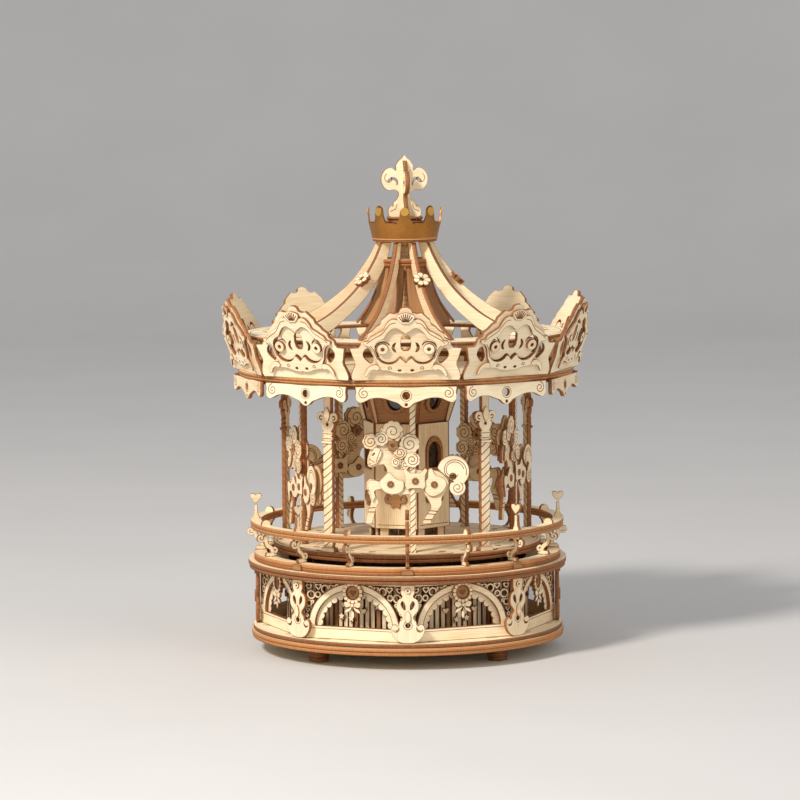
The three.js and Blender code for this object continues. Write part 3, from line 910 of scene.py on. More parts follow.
# %% Curtain with stars and hearts
SLATS = 132
SLAT_SHARE = 0.36
BAND_HEIGHT = 2.2
slat_half = 2 * math.pi * 66 / SLATS * SLAT_SHARE
curtain = Cutting()
slat = Shape(oblong(-slat_half, DRUM_FOOT + BAND_HEIGHT, slat_half, DRUM_HEAD - BAND_HEIGHT), [], 0.3)
for i in range(SLATS):
    place = outward(360 * i / SLATS, 66.6 - 0.35 * (i % 2))
    # Every fourth slat is toasted: painted shade, darker stripes for the shadow inside the drum.
    curtain.plate(slat, 1.5, place, face="toasted_and_shade" if i % 4 == 3 else "birch", grain="up")
band_ring = ring_shape(66.9, 65.0)
for top in (DRUM_HEAD, DRUM_FOOT + BAND_HEIGHT):
    curtain.plate(band_ring, BAND_HEIGHT, lying(top), edge="birch")
even_set = [("star", -14.5, 32.0), ("heart", -6.2, 29.6), ("star", 0.0, 24.4), ("star", 5.8, 25.0)]
even_set += [("heart", 10.6, 29.6)]
odd_set = [("star", -10.5, 26.0), ("star", -4.5, 25.0), ("heart", 2.5, 29.5), ("star", 10.5, 32.0)]
odd_set += [("heart", -9.0, 32.5)]
trinkets = [even_set, odd_set]
TRINKET_RADIUS = 68
trinket_shapes = {"star": Shape(star(0, 0, 2.1), [], 0.3), "heart": Shape(heart(0, 0, 3.6), [], 0.3)}
for k in range(8):
    for kind, x, z in trinkets[k % 2]:
        azimuth = 22.5 + 45 * k + math.degrees(math.asin(x / TRINKET_RADIUS))
        curtain.plate(trinket_shapes[kind], 1.5, outward(azimuth, TRINKET_RADIUS + 0.3) @ shift(0, z, 0))
curtain.make("curtain_slats", ["curtain_screen"])
print("curtain of", SLATS, "slats")

# %% [markdown]
# ## Deck rings and fence
# Two stacks of rings close the drum. On the upper one stand sixteen scroll brackets, each a radial plate
# that curls inward at its foot and outward at its head, and they carry a rail of two sheets. Heart-topped
# posts and small domes are the tops of radial plates too, so a heart shows its full width only at the
# carousel's sides.

# %% Deck rings
deck_low = foot_of("deck_ring_lower")
lower_ring = Cutting()
for outer, inner, drop in ((87.4, 65.1, 0.0), (86.8, 65.4, 2.2)):
    lower_ring.plate(ring_shape(outer, inner), 2.15, lying(top_of("deck_ring_lower") - drop))
lower_ring.make("deck_sheets_lower", ["deck_ring_lower"])

NOTCH_HALF = 7.5
NOTCH_DEPTH = 1.7
notched = []
for k in range(8):
    for i in range(-20, 20):
        angle = i * 22.5 / 20
        reach = abs(math.radians(angle)) * 84
        dip = NOTCH_DEPTH * math.cos(math.pi / 2 * reach / NOTCH_HALF) if reach < NOTCH_HALF else 0.0
        notched.append(on_circle(0, 0, 84.3 - dip, 45 * k - 90 + angle))
notched_ring = Shape(notched, [circle(0, 0, 77.2)])
upper_ring = Cutting()
upper_top = top_of("deck_ring_upper")
# The top sheet takes the lighter edge: painted light where its rim faces the lamp.
upper_ring.plate(notched_ring, 2.0, lying(upper_top), edge="painted_lit")
upper_ring.plate(notched_ring, 1.85, lying(upper_top - 2.05))
tab = Shape(tapered(0, 3.6, -1.5, 2.6, 1.5))
for k in range(8):
    upper_ring.plate(tab, 1.0, outward(45 * k, 83.9, upper_top - 2.2), face="toasted_and_shade")
upper_ring.make("deck_sheets_upper", ["deck_ring_upper"])
print("deck from", deck_low, "to", upper_top)

# %% Fence
RAIL_TOP = 72.0
bracket_bend = [(80.6, 55.6), (79.3, 57.0), (80.2, 59.4), (82.4, 61.2), (83.1, 63.6)]
bracket_bend += [(82.4, 66.2), (81.4, 67.8)]
bracket_shape = Shape(stroke(soft(bracket_bend, 4, False), 2.0, 1.8, 2.3))
low_curl = Shape(stroke(spiral(78.0, 58.0, 2.3, 0.5, -100, 1.2, 20), 1.2, 1.4))
high_curl = Shape(stroke(spiral(85.9, 65.2, 2.4, 0.4, 170, 1.15, 20), 1.2, 1.4))
base_pad = Shape([(77.6, 55.1), (83.4, 55.1), (82.6, 57.0), (78.6, 57.0)])
neck = Shape([(80.6, 66.8), (85.4, 66.8), (85.8, 68.2), (80.2, 68.2)])
dome = Shape([(80.4, 71.4), (85.4, 71.4)] + arc(82.9, 72.4, 2.5, 0, 180, 10))
post_half = [(1.9, 71.6), (1.9, 72.8), (1.1, 74.4), (0.85, 77.0), (0.85, 79.8)]
post_outline = [(83 + x, y) for x, y in mirrored([(0, 71.6)] + post_half + [(0, 79.8)])]
post_shape = Shape(post_outline)
post_heart = Shape(heart(83, 83.6, 6.4))
fence = Cutting()
for outer, inner, drop in ((86, 80, 0.0), (85.8, 80.2, 2.03)):
    # The rail sheets take the lighter edge: painted light on their lit rims.
    fence.plate(ring_shape(outer, inner), 1.95, lying(RAIL_TOP - drop), edge="painted_lit")
bracket_plates = [(bracket_shape, 2.0), (low_curl, 1.9), (high_curl, 1.9), (base_pad, 2.1), (neck, 2.1)]
heart_plates = [(post_shape, 2.0), (post_heart, 2.15)]
dome_plates = [(dome, 2.0)]
for k in range(16):
    for shape, thickness in bracket_plates + (dome_plates if k % 2 else heart_plates):
        fence.plate(shape, thickness, spoke(22.5 * k, thickness))
fence.make("fence_rail_and_brackets", ["fence"])
print("fence with 16 brackets, 8 hearts and 8 domes")

# %% [markdown]
# ## The turntable
# Two sheets turn inside the fence. The upper one is pierced by a band of crescents and round eyes, and
# five small holes let the horses' poles slide through to the wave track below.

# %% Turntable
TABLE_RADIUS = 73.5
table_top = top_of("turntable_upper")
pole_holes = [moved(oblong(1.05, -62.4, 5.35, -57.6), 0, 0, 72 * k) for k in range(5)]
middle_holes = [circle(0, 0, 3.15), *pole_holes]
pierced = []
CRESCENTS = 30
for k in range(CRESCENTS):
    turn = 360 * (k + 0.5) / CRESCENTS
    if abs((turn + 36) % 72 - 36) < 6.5 or abs(turn % 72 - 36) < 5.0:
        continue
    moon = arc(0, -64.6, 4.6, 205, 335, 8) + arc(0, -66.6, 4.2, 330, 210, 8)
    pierced.append(moved(moon, 0, 0, turn))
    pierced.append(moved(circle(0, -60.6, 1.9), 0, 0, turn))
table = Cutting()
table.plate(Shape(circle(0, 0, TABLE_RADIUS), middle_holes + pierced), 2.1, lying(table_top))
for radius in (71.6, 55.0, 40.0):
    table.line(circle(0, 0, radius), 0.4, lying(table_top), closed=True)
table.make("turntable_pierced_sheet", ["turntable_upper"])
under = Cutting()
under_shape = Shape(circle(0, 0, TABLE_RADIUS - 0.2), middle_holes)
under.plate(under_shape, 1.9, lying(top_of("turntable_lower")), face="toasted_and_shade")
under.make("turntable_lower_sheet", ["turntable_lower"])
print("turntable with", len(pierced), "piercings")

# %% [markdown]
# ## Rope columns
# Five flat columns carry the canopy. Each is cut with a wavy edge and engraved with slanting lines, so
# that a flat board reads as a twisted rope. A neck of small rings and a fleur with two curls make the
# capital.

# %% Columns
COLUMN_RADIUS = 70.5
COLUMN_THICK = 2.6
ROPE_PITCH = 4.1
ROPE_TURNS = 14
head = top_of("column_1")
foot = foot_of("column_1")
right_edge = [(0, foot + 0.05), (4.2, foot + 0.05), (4.2, foot + 2.0), (3.1, foot + 2.6)]
for i in range(ROPE_TURNS):
    z = 63.6 + ROPE_PITCH * i
    right_edge += [(2.55, z), (2.95, z + 1.0), (3.0, z + 2.2), (2.8, z + 3.4)]
right_edge += [(2.6, 120.6), (3.4, 121.0), (3.4, 122.2), (2.5, 122.8), (3.3, 123.4)]
right_edge += [(3.3, 124.8), (2.4, 125.4)]
right_edge += soft([(2.4, 125.4), (3.6, 127.2), (4.4, 129.4), (3.2, 130.8)], 3, False)
right_edge += arc(4.3, 133.2, 2.6, -100, 150, 14)
right_edge += [(1.9, 135.8), (2.2, 137.4), (2.2, head - 0.05), (0, head - 0.05)]
fleur_cut = stroke(spiral(4.2, 133.0, 1.35, 0.5, 250, 0.7, 10), 0.5)
column_shape = Shape(mirrored(right_edge), [circle(0, 129.2, 0.85), fleur_cut, flipped(fleur_cut)])
neck_bar = Shape(oblong(-3.5, 118.9, 3.5, 120.3))
shield = Shape(soft([(0, 130.2), (1.7, 132.6), (1.9, 135.6), (0, 138.4), (-1.9, 135.6), (-1.7, 132.6)], 3))
pedestal = Shape(tapered(0, 4.4, foot + 0.1, 4.0, foot + 2.4))


def column(number, azimuth):
    rope = Cutting()
    core = outward(azimuth, COLUMN_RADIUS + COLUMN_THICK / 2)
    rope.plate(column_shape, COLUMN_THICK, core, grain="up")
    for side in (-1, 1):
        radius = COLUMN_RADIUS + (2.0 if side > 0 else -1.35)
        for shape in (neck_bar, shield, pedestal):
            rope.plate(shape, 0.65, outward(azimuth, radius))
    for i in range(ROPE_TURNS):
        z = 63.4 + ROPE_PITCH * i
        for depth in (0, COLUMN_THICK):
            rope.line([(-2.5, z), (-0.8, z + 1.3), (0.9, z + 2.5), (2.6, z + 3.9)], 0.5, core, depth)
    for z in (121.6, 124.1):
        rope.line([(-3.2, z), (3.2, z)], 0.35, core)
    return rope.make(f"rope_column_{number}", [f"column_{number}"])


for k in range(5):
    column(k + 1, 36 + 72 * k)
print("columns from", round(foot, 1), "to", round(head, 1))

# %% [markdown]
# ## The horses
# A horse is a sandwich. The middle sheet has the whole silhouette, and both sides carry a second sheet
# with the curls of the mane, the rolled tail, the saddle and the tops of the legs, engraved with spirals.
# Small toasted rosettes are glued over them. Each horse rides with its pole, which is cut like the
# columns' rope and slides up and down.

# %% Horse outlines
back_line = [(-15.3, 107.4), (-18.4, 106.2), (-20.6, 107.2), (-21.0, 110.0), (-20.2, 113.4), (-18.0, 117.4)]
back_line += [(-12.0, 121.6), (-4.0, 121.0), (1.4, 115.0), (3.2, 108.4), (5.4, 105.2), (10.0, 104.4)]
back_line += [(14.0, 104.6), (18.6, 103.0), (21.8, 99.4), (22.4, 96.2), (20.8, 92.8), (18.6, 89.6)]
hind_leg = [(18.6, 86.4), (16.8, 83.2), (14.8, 80.4), (13.2, 77.8)]
hind_hoof = [(13.0, 75.9), (8.2, 75.8), (8.6, 77.6)]
hind_front = [(10.6, 80.6), (12.8, 84.2), (12.0, 87.4), (9.8, 91.0), (8.2, 93.2)]
belly = [(4.0, 92.0), (-2.0, 91.4), (-8.0, 91.8), (-12.6, 93.4), (-16.6, 94.2)]
fore_leg = [(-17.2, 92.2), (-15.6, 89.4), (-15.3, 86.8), (-16.6, 84.0), (-17.4, 80.6), (-18.2, 78.0)]
fore_hoof = [(-18.6, 75.9), (-22.0, 75.9), (-22.0, 78.0)]
fore_front = [(-20.8, 83.4), (-19.2, 87.4), (-20.0, 91.0), (-21.4, 95.0), (-21.5, 98.2), (-19.4, 100.2)]
chest = [(-15.6, 99.2), (-13.2, 99.0), (-11.0, 101.4), (-10.6, 105.0), (-12.2, 107.8)]
horse_outline = (
    soft(back_line + hind_leg, 3, False)
    + hind_hoof
    + soft(hind_front + belly + fore_leg, 3, False)
    + fore_hoof
    + soft(fore_front + chest, 3, False)
)
tail_outline = arc(24.8, 103.9, 8.5, 168, -62, 30) + arc(27.0, 95.2, 4.3, 40, -150, 18)
tail_outline += arc(27.0, 95.2, 4.3, -152, -215, 6)
tail_outline += soft([(25.2, 98.4), (23.4, 100.2), (20.6, 101.6)], 3, False)
MANE = [(-7.4, 125.4, 6.0), (1.7, 118.8, 5.5), (3.0, 110.3, 4.3), (-19.2, 120.2, 4.4), (-13.4, 121.6, 3.9)]
MANE += [(-3.4, 114.2, 3.6), (-0.9, 107.9, 3.0), (-5.6, 109.2, 2.9)]
saddle_half = [(0, 95.0), (2.8, 95.0), (4.2, 94.2), (5.6, 96.4), (5.2, 99.2), (5.4, 102.0), (6.6, 104.8)]
saddle_half += [(5.2, 105.8), (3.8, 104.2), (2.6, 103.2), (0, 103.2)]
shoulder_bend = [(-14.6, 98.2), (-12.8, 94.0), (-8.6, 91.9), (-3.8, 92.6), (-1.6, 95.4), (-2.0, 99.0)]
shoulder_bend += [(-5.4, 99.8), (-9.2, 103.4), (-12.0, 101.4)]
hip_bend = [(9.2, 98.0), (11.2, 100.4), (11.4, 104.4), (13.4, 105.4), (15.4, 102.0)]
hip_bend += [(19.6, 100.2), (21.2, 96.8)]
hip_bend += [(18.4, 92.4), (13.6, 90.6), (10.0, 93.0)]
foreleg_bend = [(-14.6, 98.6), (-19.6, 99.4), (-20.8, 96.4), (-19.4, 92.0), (-18.3, 88.0), (-16.9, 90.6)]
foreleg_bend += [(-17.2, 93.8), (-13.4, 95.0)]
cheek_bend = [(-19.8, 108.0), (-16.6, 108.0), (-14.0, 111.4), (-13.2, 115.2)]
cheek_bend += [(-16.4, 117.2), (-19.0, 113.4)]
ear_bend = [(-14.6, 124.0), (-13.2, 128.0), (-11.2, 124.4)]
horse_core = Shape(horse_outline)
saddle = Shape(mirrored(saddle_half))
rosette = Shape(flower(0, 0, 1.9, 8, 0.16), [circle(0, 0, 0.5)])
mane_rose = Shape(flower(0, 0, 3.3, 7, 0.24), [circle(0, 0, 1.0)])
side_sheets = [Shape(tail_outline, [circle(24.6, 101.2, 1.9)])]
for bend in (shoulder_bend, hip_bend, foreleg_bend, cheek_bend, ear_bend):
    side_sheets.append(Shape(soft(bend, 4)))
mane_sheets = [Shape(flower(x, y, radius, 9 if radius > 5 else 7, 0.12)) for x, y, radius in MANE]
TWIST = 3.4
pole_edge = [(0, 55.9), (1.4, 55.9)]
for i in range(31):
    z = 56.2 + TWIST * i
    pole_edge += [(1.3, z), (1.6, z + 1.1), (1.6, z + 2.3)]
pole_edge += [(1.5, 161.9), (0, 161.9)]
pole_shape = Shape(mirrored(pole_edge), [], 0.3)
print("horse silhouette:", len(horse_outline), "points and", len(MANE), "curls")

# %% One horse
HORSE_PLANE = 60.0
CORE_THICK = 2.0
SIDE_THICK = 1.05
POLE_THICK = 3.7
POLE_X = 3.2
SADDLE_X = 4.5
TAIL_CURLS = [(24.9, 104.2, 7.2, 3.2, -20, 0.95)]
TAIL_CURLS += [(24.9, 104.2, 5.6, 2.6, 10, 0.8), (27.0, 95.2, 3.2, 0.5, 60, -1.6)]
TAIL_WIDTHS = [0.42, 0.36, 0.42]
ROSETTES = [(-8.7, 97.3, 0.6), (SADDLE_X, 99.0, 1.35), (14.6, 97.0, 0.6)]
LEG_BANDS = [[(-21.3, 94.2), (-17.4, 92.6)], [(-20.4, 84.4), (-16.8, 84.8)], [(-20.9, 82.4), (-17.2, 82.4)]]
LEG_BANDS += [[(11.9, 82.9), (16.4, 82.4)], [(10.9, 81.2), (15.2, 80.8)], [(9.0, 78.2), (13.4, 78.0)]]
BRIDLE = [[(-20.0, 111.0), (-17.0, 109.0)], [(-16.2, 109.4), (-15.0, 113.0), (-13.8, 116.0)]]
EYE_LINE = [(-18.3, 112.7), (-17.6, 113.6), (-16.9, 114.1)]
MOUTH_LINE = [(-20.4, 108.0), (-18.9, 108.5)]


def horse(number, azimuth, rise):
    body = Cutting()

    def layer(radius, x=0.0, y=0.0):
        return outward(azimuth, radius) @ shift(x, rise + y, 0)

    core = layer(HORSE_PLANE + CORE_THICK / 2)
    body.plate(horse_core, CORE_THICK, core)
    pole = layer(HORSE_PLANE + POLE_THICK / 2, POLE_X)
    body.plate(pole_shape, POLE_THICK, pole, grain="up")
    for i in range(30):
        z = 56.6 + TWIST * i
        for depth in (0, POLE_THICK):
            body.line([(-1.4, z), (0, z + 1.0), (1.4, z + 2.4)], 0.45, pole, depth)
    for side in (1, -1):
        near = HORSE_PLANE + 2.15 if side > 0 else HORSE_PLANE - SIDE_THICK
        depth = 0 if side > 0 else SIDE_THICK
        for i, sheet in enumerate(side_sheets):
            body.plate(sheet, SIDE_THICK, layer(near - 0.004 * i))
        for i, (x, y, radius) in enumerate(MANE):
            lift = 0.35 * (i % 3) * side
            body.plate(mane_sheets[i], 1.0, layer(near + lift))
            curl = spiral(x, y, radius * 0.78, 0.5, 40 * i, 1.7 if i % 2 else -1.7)
            body.line(curl, 0.42, layer(near + lift), depth)
        body.plate(saddle, 1.0, layer(near + 0.75 * side, SADDLE_X))
        for curl, width in zip(TAIL_CURLS, TAIL_WIDTHS):
            body.line(spiral(*curl), width, layer(near), depth)
        for x, y, lift in ROSETTES:
            spot = layer(near + lift * side, x, y)
            body.plate(rosette, 0.9, spot, face="toasted_and_shade")
            body.line(circle(0, 0, 1.2), 0.35, spot, depth * 0.9, True)
        body.plate(mane_rose, 1.0, layer(near + 0.9 * side, -7.3, 118.0), face="toasted_and_shade")
        for band in LEG_BANDS:
            body.line(band, 0.5, core, 0 if side > 0 else CORE_THICK)
        for strap in BRIDLE:
            body.line(strap, 0.35, layer(near - 0.02), depth)
        body.line(EYE_LINE, 1.0, layer(near), depth)
        body.line(MOUTH_LINE, 0.35, layer(near), depth)
    return body.make(f"layered_horse_{number}", [f"horse_{number}"])


HORSE_RISES = [0, -1, -5, -3, -7]
for k, rise in enumerate(HORSE_RISES):
    horse(k + 1, 72 * k, rise)
print("horses:", len(HORSE_RISES))

# %% [markdown]
# ## The centre tower
# The tower hides the shaft. It has six walls on short legs: each wall carries an arched black mirror in a
# toasted frame, with a toasted bow below it. Above, six boards lean outward to form a collar, each with
# an oval mirror. The walls are plain plates that meet at the corners, and narrow boards cover the
# collar's joints.

# %% Tower walls and collar
TOWER_TURN = 14
WALL_CORNER = 24.5
HEXAGON = math.cos(math.radians(30))
wall_reach = WALL_CORNER * HEXAGON
wall_foot = 68.0
wall_head = top_of("tower_body") - 0.05
wall_half = [(0, wall_foot), (11.9, wall_foot), (11.7, 96.0), (11.3, wall_head), (0, wall_head)]
arch = [(-4.6, 101.2), (4.6, 101.2)] + arc(0, 109.6, 4.6, 0, 180, 16, 1.25)
wall_shape = Shape(mirrored(wall_half), [arch])
frame_outline = [(-6.1, 99.6), (6.1, 99.6), (6.3, 104.0)] + arc(0, 109.8, 6.3, 0, 180, 22, 1.35)
arch_frame = Shape(frame_outline + [(-6.3, 104.0)], [arch])
pane = Shape([(-4.9, 100.9), (4.9, 100.9)] + arc(0, 109.6, 4.9, 0, 180, 16, 1.25), [], 0.2)
bow_bend = [(0, 80.4), (2.2, 79.4), (2.8, 81.8), (5.4, 82.0), (6.4, 84.6), (4.8, 87.2)]
bow_bend += [(2.4, 86.0), (0, 87.8)]
bow_shape = Shape(mirrored(soft(bow_bend, 3, False)), [circle(3.7, 84.6, 0.9), circle(-3.7, 84.6, 0.9)])
legs = [Shape(tapered(x, 2.2, 60.75, 2.6, 68.6)) for x in (-7.4, 7.4)]
tower = Cutting()
for k in range(6):
    azimuth = TOWER_TURN + 30 + 60 * k
    face = outward(azimuth, wall_reach)
    raised = outward(azimuth, wall_reach + 1.0)
    tower.plate(wall_shape, 1.9, face, grain="up")
    tower.plate(arch_frame, 1.0, raised, face="toasted_and_shade")
    tower.plate(pane, 0.5, outward(azimuth, wall_reach - 1.3), face="mirror", edge="mirror")
    tower.plate(bow_shape, 1.0, raised, face="toasted_and_shade")
    for leg in legs:
        tower.plate(leg, 1.9, outward(azimuth, wall_reach - 2.2), grain="up")
    for i in range(7):
        beam = arc(0, 109.8, 5.4, 10 + 26.6 * i, 22 + 26.6 * i, 3, 1.32)
        tower.line(beam, 0.5, raised)
    tower.line([(-10.6, 70.0), (10.6, 70.0)], 0.35, face)
tower.make("tower_walls", ["tower_body"])

LOW_CORNER = 22.5
RIB_SHIFT = 6.0
low_reach = LOW_CORNER * HEXAGON
high_reach = (LOW_CORNER + RIB_SHIFT) * HEXAGON
collar_rise = top_of("tower_flare") - foot_of("tower_flare") - 0.1
collar_lean = math.degrees(math.atan2(high_reach - low_reach, collar_rise))
slant = math.hypot(high_reach - low_reach, collar_rise)
collar_half = [(0, 0), (11.0, 0), (14.0, slant), (0, slant)]
waist = slant * 0.5
collar_shape = Shape(mirrored(collar_half), [circle(0, waist, 4.3, 1.25)])
oval_frame = Shape(moved(flower(0, 0, 7.4, 12, 0.13), 0, waist), [circle(0, waist, 4.3, 1.2)])
oval_pane = Shape(circle(0, waist, 4.6, 1.24), [], 0.2)
rib_board = Shape([(0.0, 0.2), (1.6, 0.2), (2.6, waist), (1.6, slant - 0.2), (0.0, slant - 0.2)])
collar = Cutting()
collar_foot = foot_of("tower_flare") + 0.05
for k in range(6):
    azimuth = TOWER_TURN + 30 + 60 * k
    for shape, thickness, step, finishes in (
        (collar_shape, 1.8, 0.0, ("toasted_and_shade", "edge")),
        (oval_frame, 1.0, 1.0, ("toasted_and_shade", "edge")),
        (oval_pane, 0.5, -0.9, ("mirror", "mirror")),
    ):
        place = outward(azimuth, low_reach + step, collar_foot, collar_lean)
        collar.plate(shape, thickness, place, *finishes)
    corner_place = spoke(TOWER_TURN + 60 * k, 2.4, collar_foot) @ shift(22.6, 0, 0)
    rib_lean = turned(-math.degrees(math.atan2(RIB_SHIFT, collar_rise)))
    collar.plate(rib_board, 2.4, corner_place @ rib_lean)
collar.make("tower_collar", ["tower_flare"])
print("collar leans", round(collar_lean, 1), "degrees")

# %% [markdown]
# ## The canopy rim and its valance
# A round rim of stacked sheets holds the canopy together. Ten boards hang from it: each has a scrolled
# lower edge, a spiral engraved at both ends, and in the middle a round eye with a small hole under it.

# %% Rim, ceiling and valance
rim_top = top_of("rim_ring")
rim = Cutting()
for outer, inner, thickness, drop in ((91.9, 86.1, 1.45, 0.0), (91.5, 86.3, 1.4, 1.5)):
    # The rim sheets take the lighter edge: painted light on their lit rims.
    rim.plate(ring_shape(outer, inner), thickness, lying(rim_top - drop), edge="painted_lit")
rim.make("canopy_rim_sheets", ["rim_ring"])
ceiling = Cutting()
ceiling.plate(Shape(circle(0, 0, 85.6), middle_holes), 1.95, lying(top_of("ceiling_plate")))
for radius in (82, 50):
    ceiling.line(circle(0, 0, radius), 0.4, lying(top_of("ceiling_plate")), 1.95, True)
ceiling.make("ceiling_sheet", ["ceiling_plate"])

HANG = top_of("valance") - 0.05
valance_curve = [(0, 140.6), (1.6, 141.0), (3.0, 142.0), (4.4, 143.2), (7.4, 144.2)]
valance_curve += [(11.4, 145.6), (15.0, 146.0)]
valance_curve += [(18.6, 145.6), (21.4, 144.3), (24.0, 143.5), (25.8, 144.4), (26.5, 146.4), (26.2, 148.6)]
valance_outline = mirrored(soft(valance_curve, 3, False) + [(26.6, HANG), (0, HANG)])
valance_shape = Shape(valance_outline, [circle(0, 147.1, 2.1), circle(0, 142.3, 0.8)])
VALANCE_THICK = 2.1
valance = Cutting()
for k in range(10):
    place = outward(36 * k, 90.5)
    valance.plate(valance_shape, VALANCE_THICK, place)
    for side in (-1, 1):
        for depth in (0, VALANCE_THICK):
            valance.line(spiral(22.2 * side, 148.4, 3.0, 0.5, 90, -1.6 * side), 0.42, place, depth)
    valance.line(circle(0, 147.1, 2.9), 0.3, place, 0, True)
valance.plate(ring_shape(89.3, 86.4), 1.9, lying(HANG))
valance.make("valance_boards", ["valance"])
print("valance hangs from", round(HANG, 1))

# %% [markdown]
# ## The crest boards
# Above the rim ten boards lean outward. The back sheet gives the silhouette, and a shield, crescents,
# brows, teardrops and a long moustache are cut through it. A second sheet frames them like a window. A
# ring is glued round each eye, a shell with seven rays on the top and a leaf at each lower corner. The
# boards are drawn upright and then stretched up the lean. Seen from behind a board is plain, but for the
# same cuts.

# %% Crest outlines
LEAN = 17
STRETCH = 1 / math.cos(math.radians(LEAN))
CREST_FOOT = foot_of("crest")
DRAWN_FOOT = 155.3
DRAWN_TOP = 190.9
GROWTH = (top_of("crest") - 0.1 - CREST_FOOT) / (DRAWN_TOP - DRAWN_FOOT)


def on_board(points):
    """Heights of the upright drawing turned into distances up the leaning board."""
    return [(x, (z - DRAWN_FOOT) * GROWTH * STRETCH) for x, z in points]


silhouette = [(0, 155.3), (28.0, 155.3), (28.6, 157.0), (28.3, 158.9), (27.4, 161.2)]
silhouette += [(26.6, 162.8), (26.6, 164.4)]
silhouette += [(27.4, 166.0), (28.2, 168.3), (29.2, 171.1), (24.8, 171.3), (23.6, 172.8), (23.2, 174.7)]
silhouette += [(20.4, 176.0), (19.8, 178.2), (17.1, 179.8), (15.6, 181.4), (13.2, 182.8), (12.6, 184.8)]
silhouette += [(10.2, 186.7), (8.2, 188.3), (6.0, 187.8), (3.6, 188.4), (2.7, 190.2)]
silhouette += [(1.2, 190.9), (0, 190.9)]
shield_cut = [(-2.3, 176.4), (-1.2, 177.6), (1.2, 177.6), (2.3, 176.4), (2.8, 173.6)]
shield_cut += [(2.5, 171.2), (1.3, 169.8)]
shield_cut += [(-1.3, 169.8), (-2.5, 171.2), (-2.8, 173.6)]
crescent_cut = soft([(5.1, 173.9), (6.6, 173.2), (7.3, 171.5), (6.6, 169.8), (5.0, 169.2), (5.9, 171.5)], 3)
EYE_X, EYE_Z = 12.1, 170.7
brow_cut = stroke(arc(EYE_X, EYE_Z, 4.0, 15, 150, 10), 0.4, 0.4, 1.3)
lash_cut = stroke(arc(EYE_X, EYE_Z, 4.1, -62, -8, 6), 0.4, 0.4, 1.5)
tear_bend = [(18.3, 163.7), (16.9, 166.2), (18.0, 169.0), (19.8, 171.2), (21.8, 170.0), (22.2, 167.0)]
tear_cut = soft(tear_bend, 3)
seed_cut = circle(3.3, 160.4, 0.95, 0.6)
moustache_half = [(0, 164.3), (1.4, 165.6), (2.9, 166.7), (4.6, 165.2), (6.9, 164.1)]
moustache_half += [(9.8, 163.9), (12.4, 164.9)]
moustache_half += [(14.0, 166.3)]
moustache_line = [(-x, z) for x, z in reversed(moustache_half[1:])] + moustache_half
moustache_cut = stroke(soft(moustache_line, 2, False), 0.4, 0.4, 1.2)
back_cuts = [on_board(shield_cut), on_board(moustache_cut)]
for cut in (crescent_cut, brow_cut, lash_cut, tear_cut, seed_cut):
    back_cuts += [on_board(cut), flipped(on_board(cut))]
crest_back = Shape(mirrored(on_board(silhouette)), back_cuts)
frame_curve = [(0, 159.0), (2.0, 158.6), (5.4, 159.0), (9.0, 160.0), (12.6, 160.4)]
frame_curve += [(15.0, 160.6), (14.4, 163.0)]
frame_curve += [(15.8, 165.2), (16.6, 167.6), (17.6, 170.2), (19.6, 172.2), (21.8, 172.9), (22.0, 174.4)]
frame_curve += [(19.6, 174.8), (18.4, 176.6), (15.8, 178.0), (14.0, 179.0), (11.6, 180.2), (10.6, 182.2)]
frame_curve += [(8.8, 184.4), (6.6, 185.4), (4.4, 185.2), (3.8, 186.9), (2.0, 187.8), (0, 188.0)]
window_curve = [(0, 163.9), (2.9, 166.2), (4.6, 164.7), (7.0, 163.5), (10.0, 163.4)]
window_curve += [(12.8, 164.4), (14.6, 166.2)]
window_curve += [(15.4, 168.4), (16.2, 170.6), (15.9, 172.8), (14.4, 174.6), (11.4, 176.0), (9.8, 178.2)]
window_curve += [(7.6, 180.2), (5.0, 180.9), (2.4, 179.6), (0, 178.2)]
frame_cuts = [mirrored(on_board(soft(window_curve, 3, False)))]
frame_cuts += [on_board(seed_cut), flipped(on_board(seed_cut))]
crest_frame = Shape(mirrored(on_board(soft(frame_curve, 3, False))), frame_cuts)
crest_ring = Shape(circle(0, 0, 2.9), [circle(0, 0, 1.0)])
shell_half = [(0, 183.2), (1.8, 183.2), (3.6, 184.6), (4.8, 186.2), (4.2, 187.4), (2.4, 188.0), (0, 188.6)]
shell = Shape(mirrored(on_board(soft(shell_half, 4, False))))
leaf_upper = [(13.4, 161.6), (15.4, 163.2), (18.6, 162.6), (20.8, 160.4), (21.6, 157.6), (20.4, 157.4)]
leaf_lower = [(19.0, 159.6), (17.0, 160.8), (15.0, 160.2)]
leaf_outline = on_board(soft(leaf_upper, 3, False) + soft(leaf_lower, 3, False))
crest_leaves = [Shape(leaf_outline), Shape(flipped(leaf_outline))]
brow_bend = [(20.4, 173.6), (18.2, 175.2), (15.2, 176.8), (12.6, 178.2), (10.4, 180.6)]
brow_bend += [(8.2, 183.0), (5.2, 183.7)]
frame_lines = [
    soft(brow_bend, 3, False),
    soft([(14.9, 166.0), (15.8, 168.0), (17.0, 170.8), (18.6, 172.4)], 3, False),
    spiral(8.6, 161.4, 1.1, 0.3, 200, -1.1, 10),
]
print("crest window cuts:", len(back_cuts))

# %% Crest boards
BOARD_FRONT = 92.0


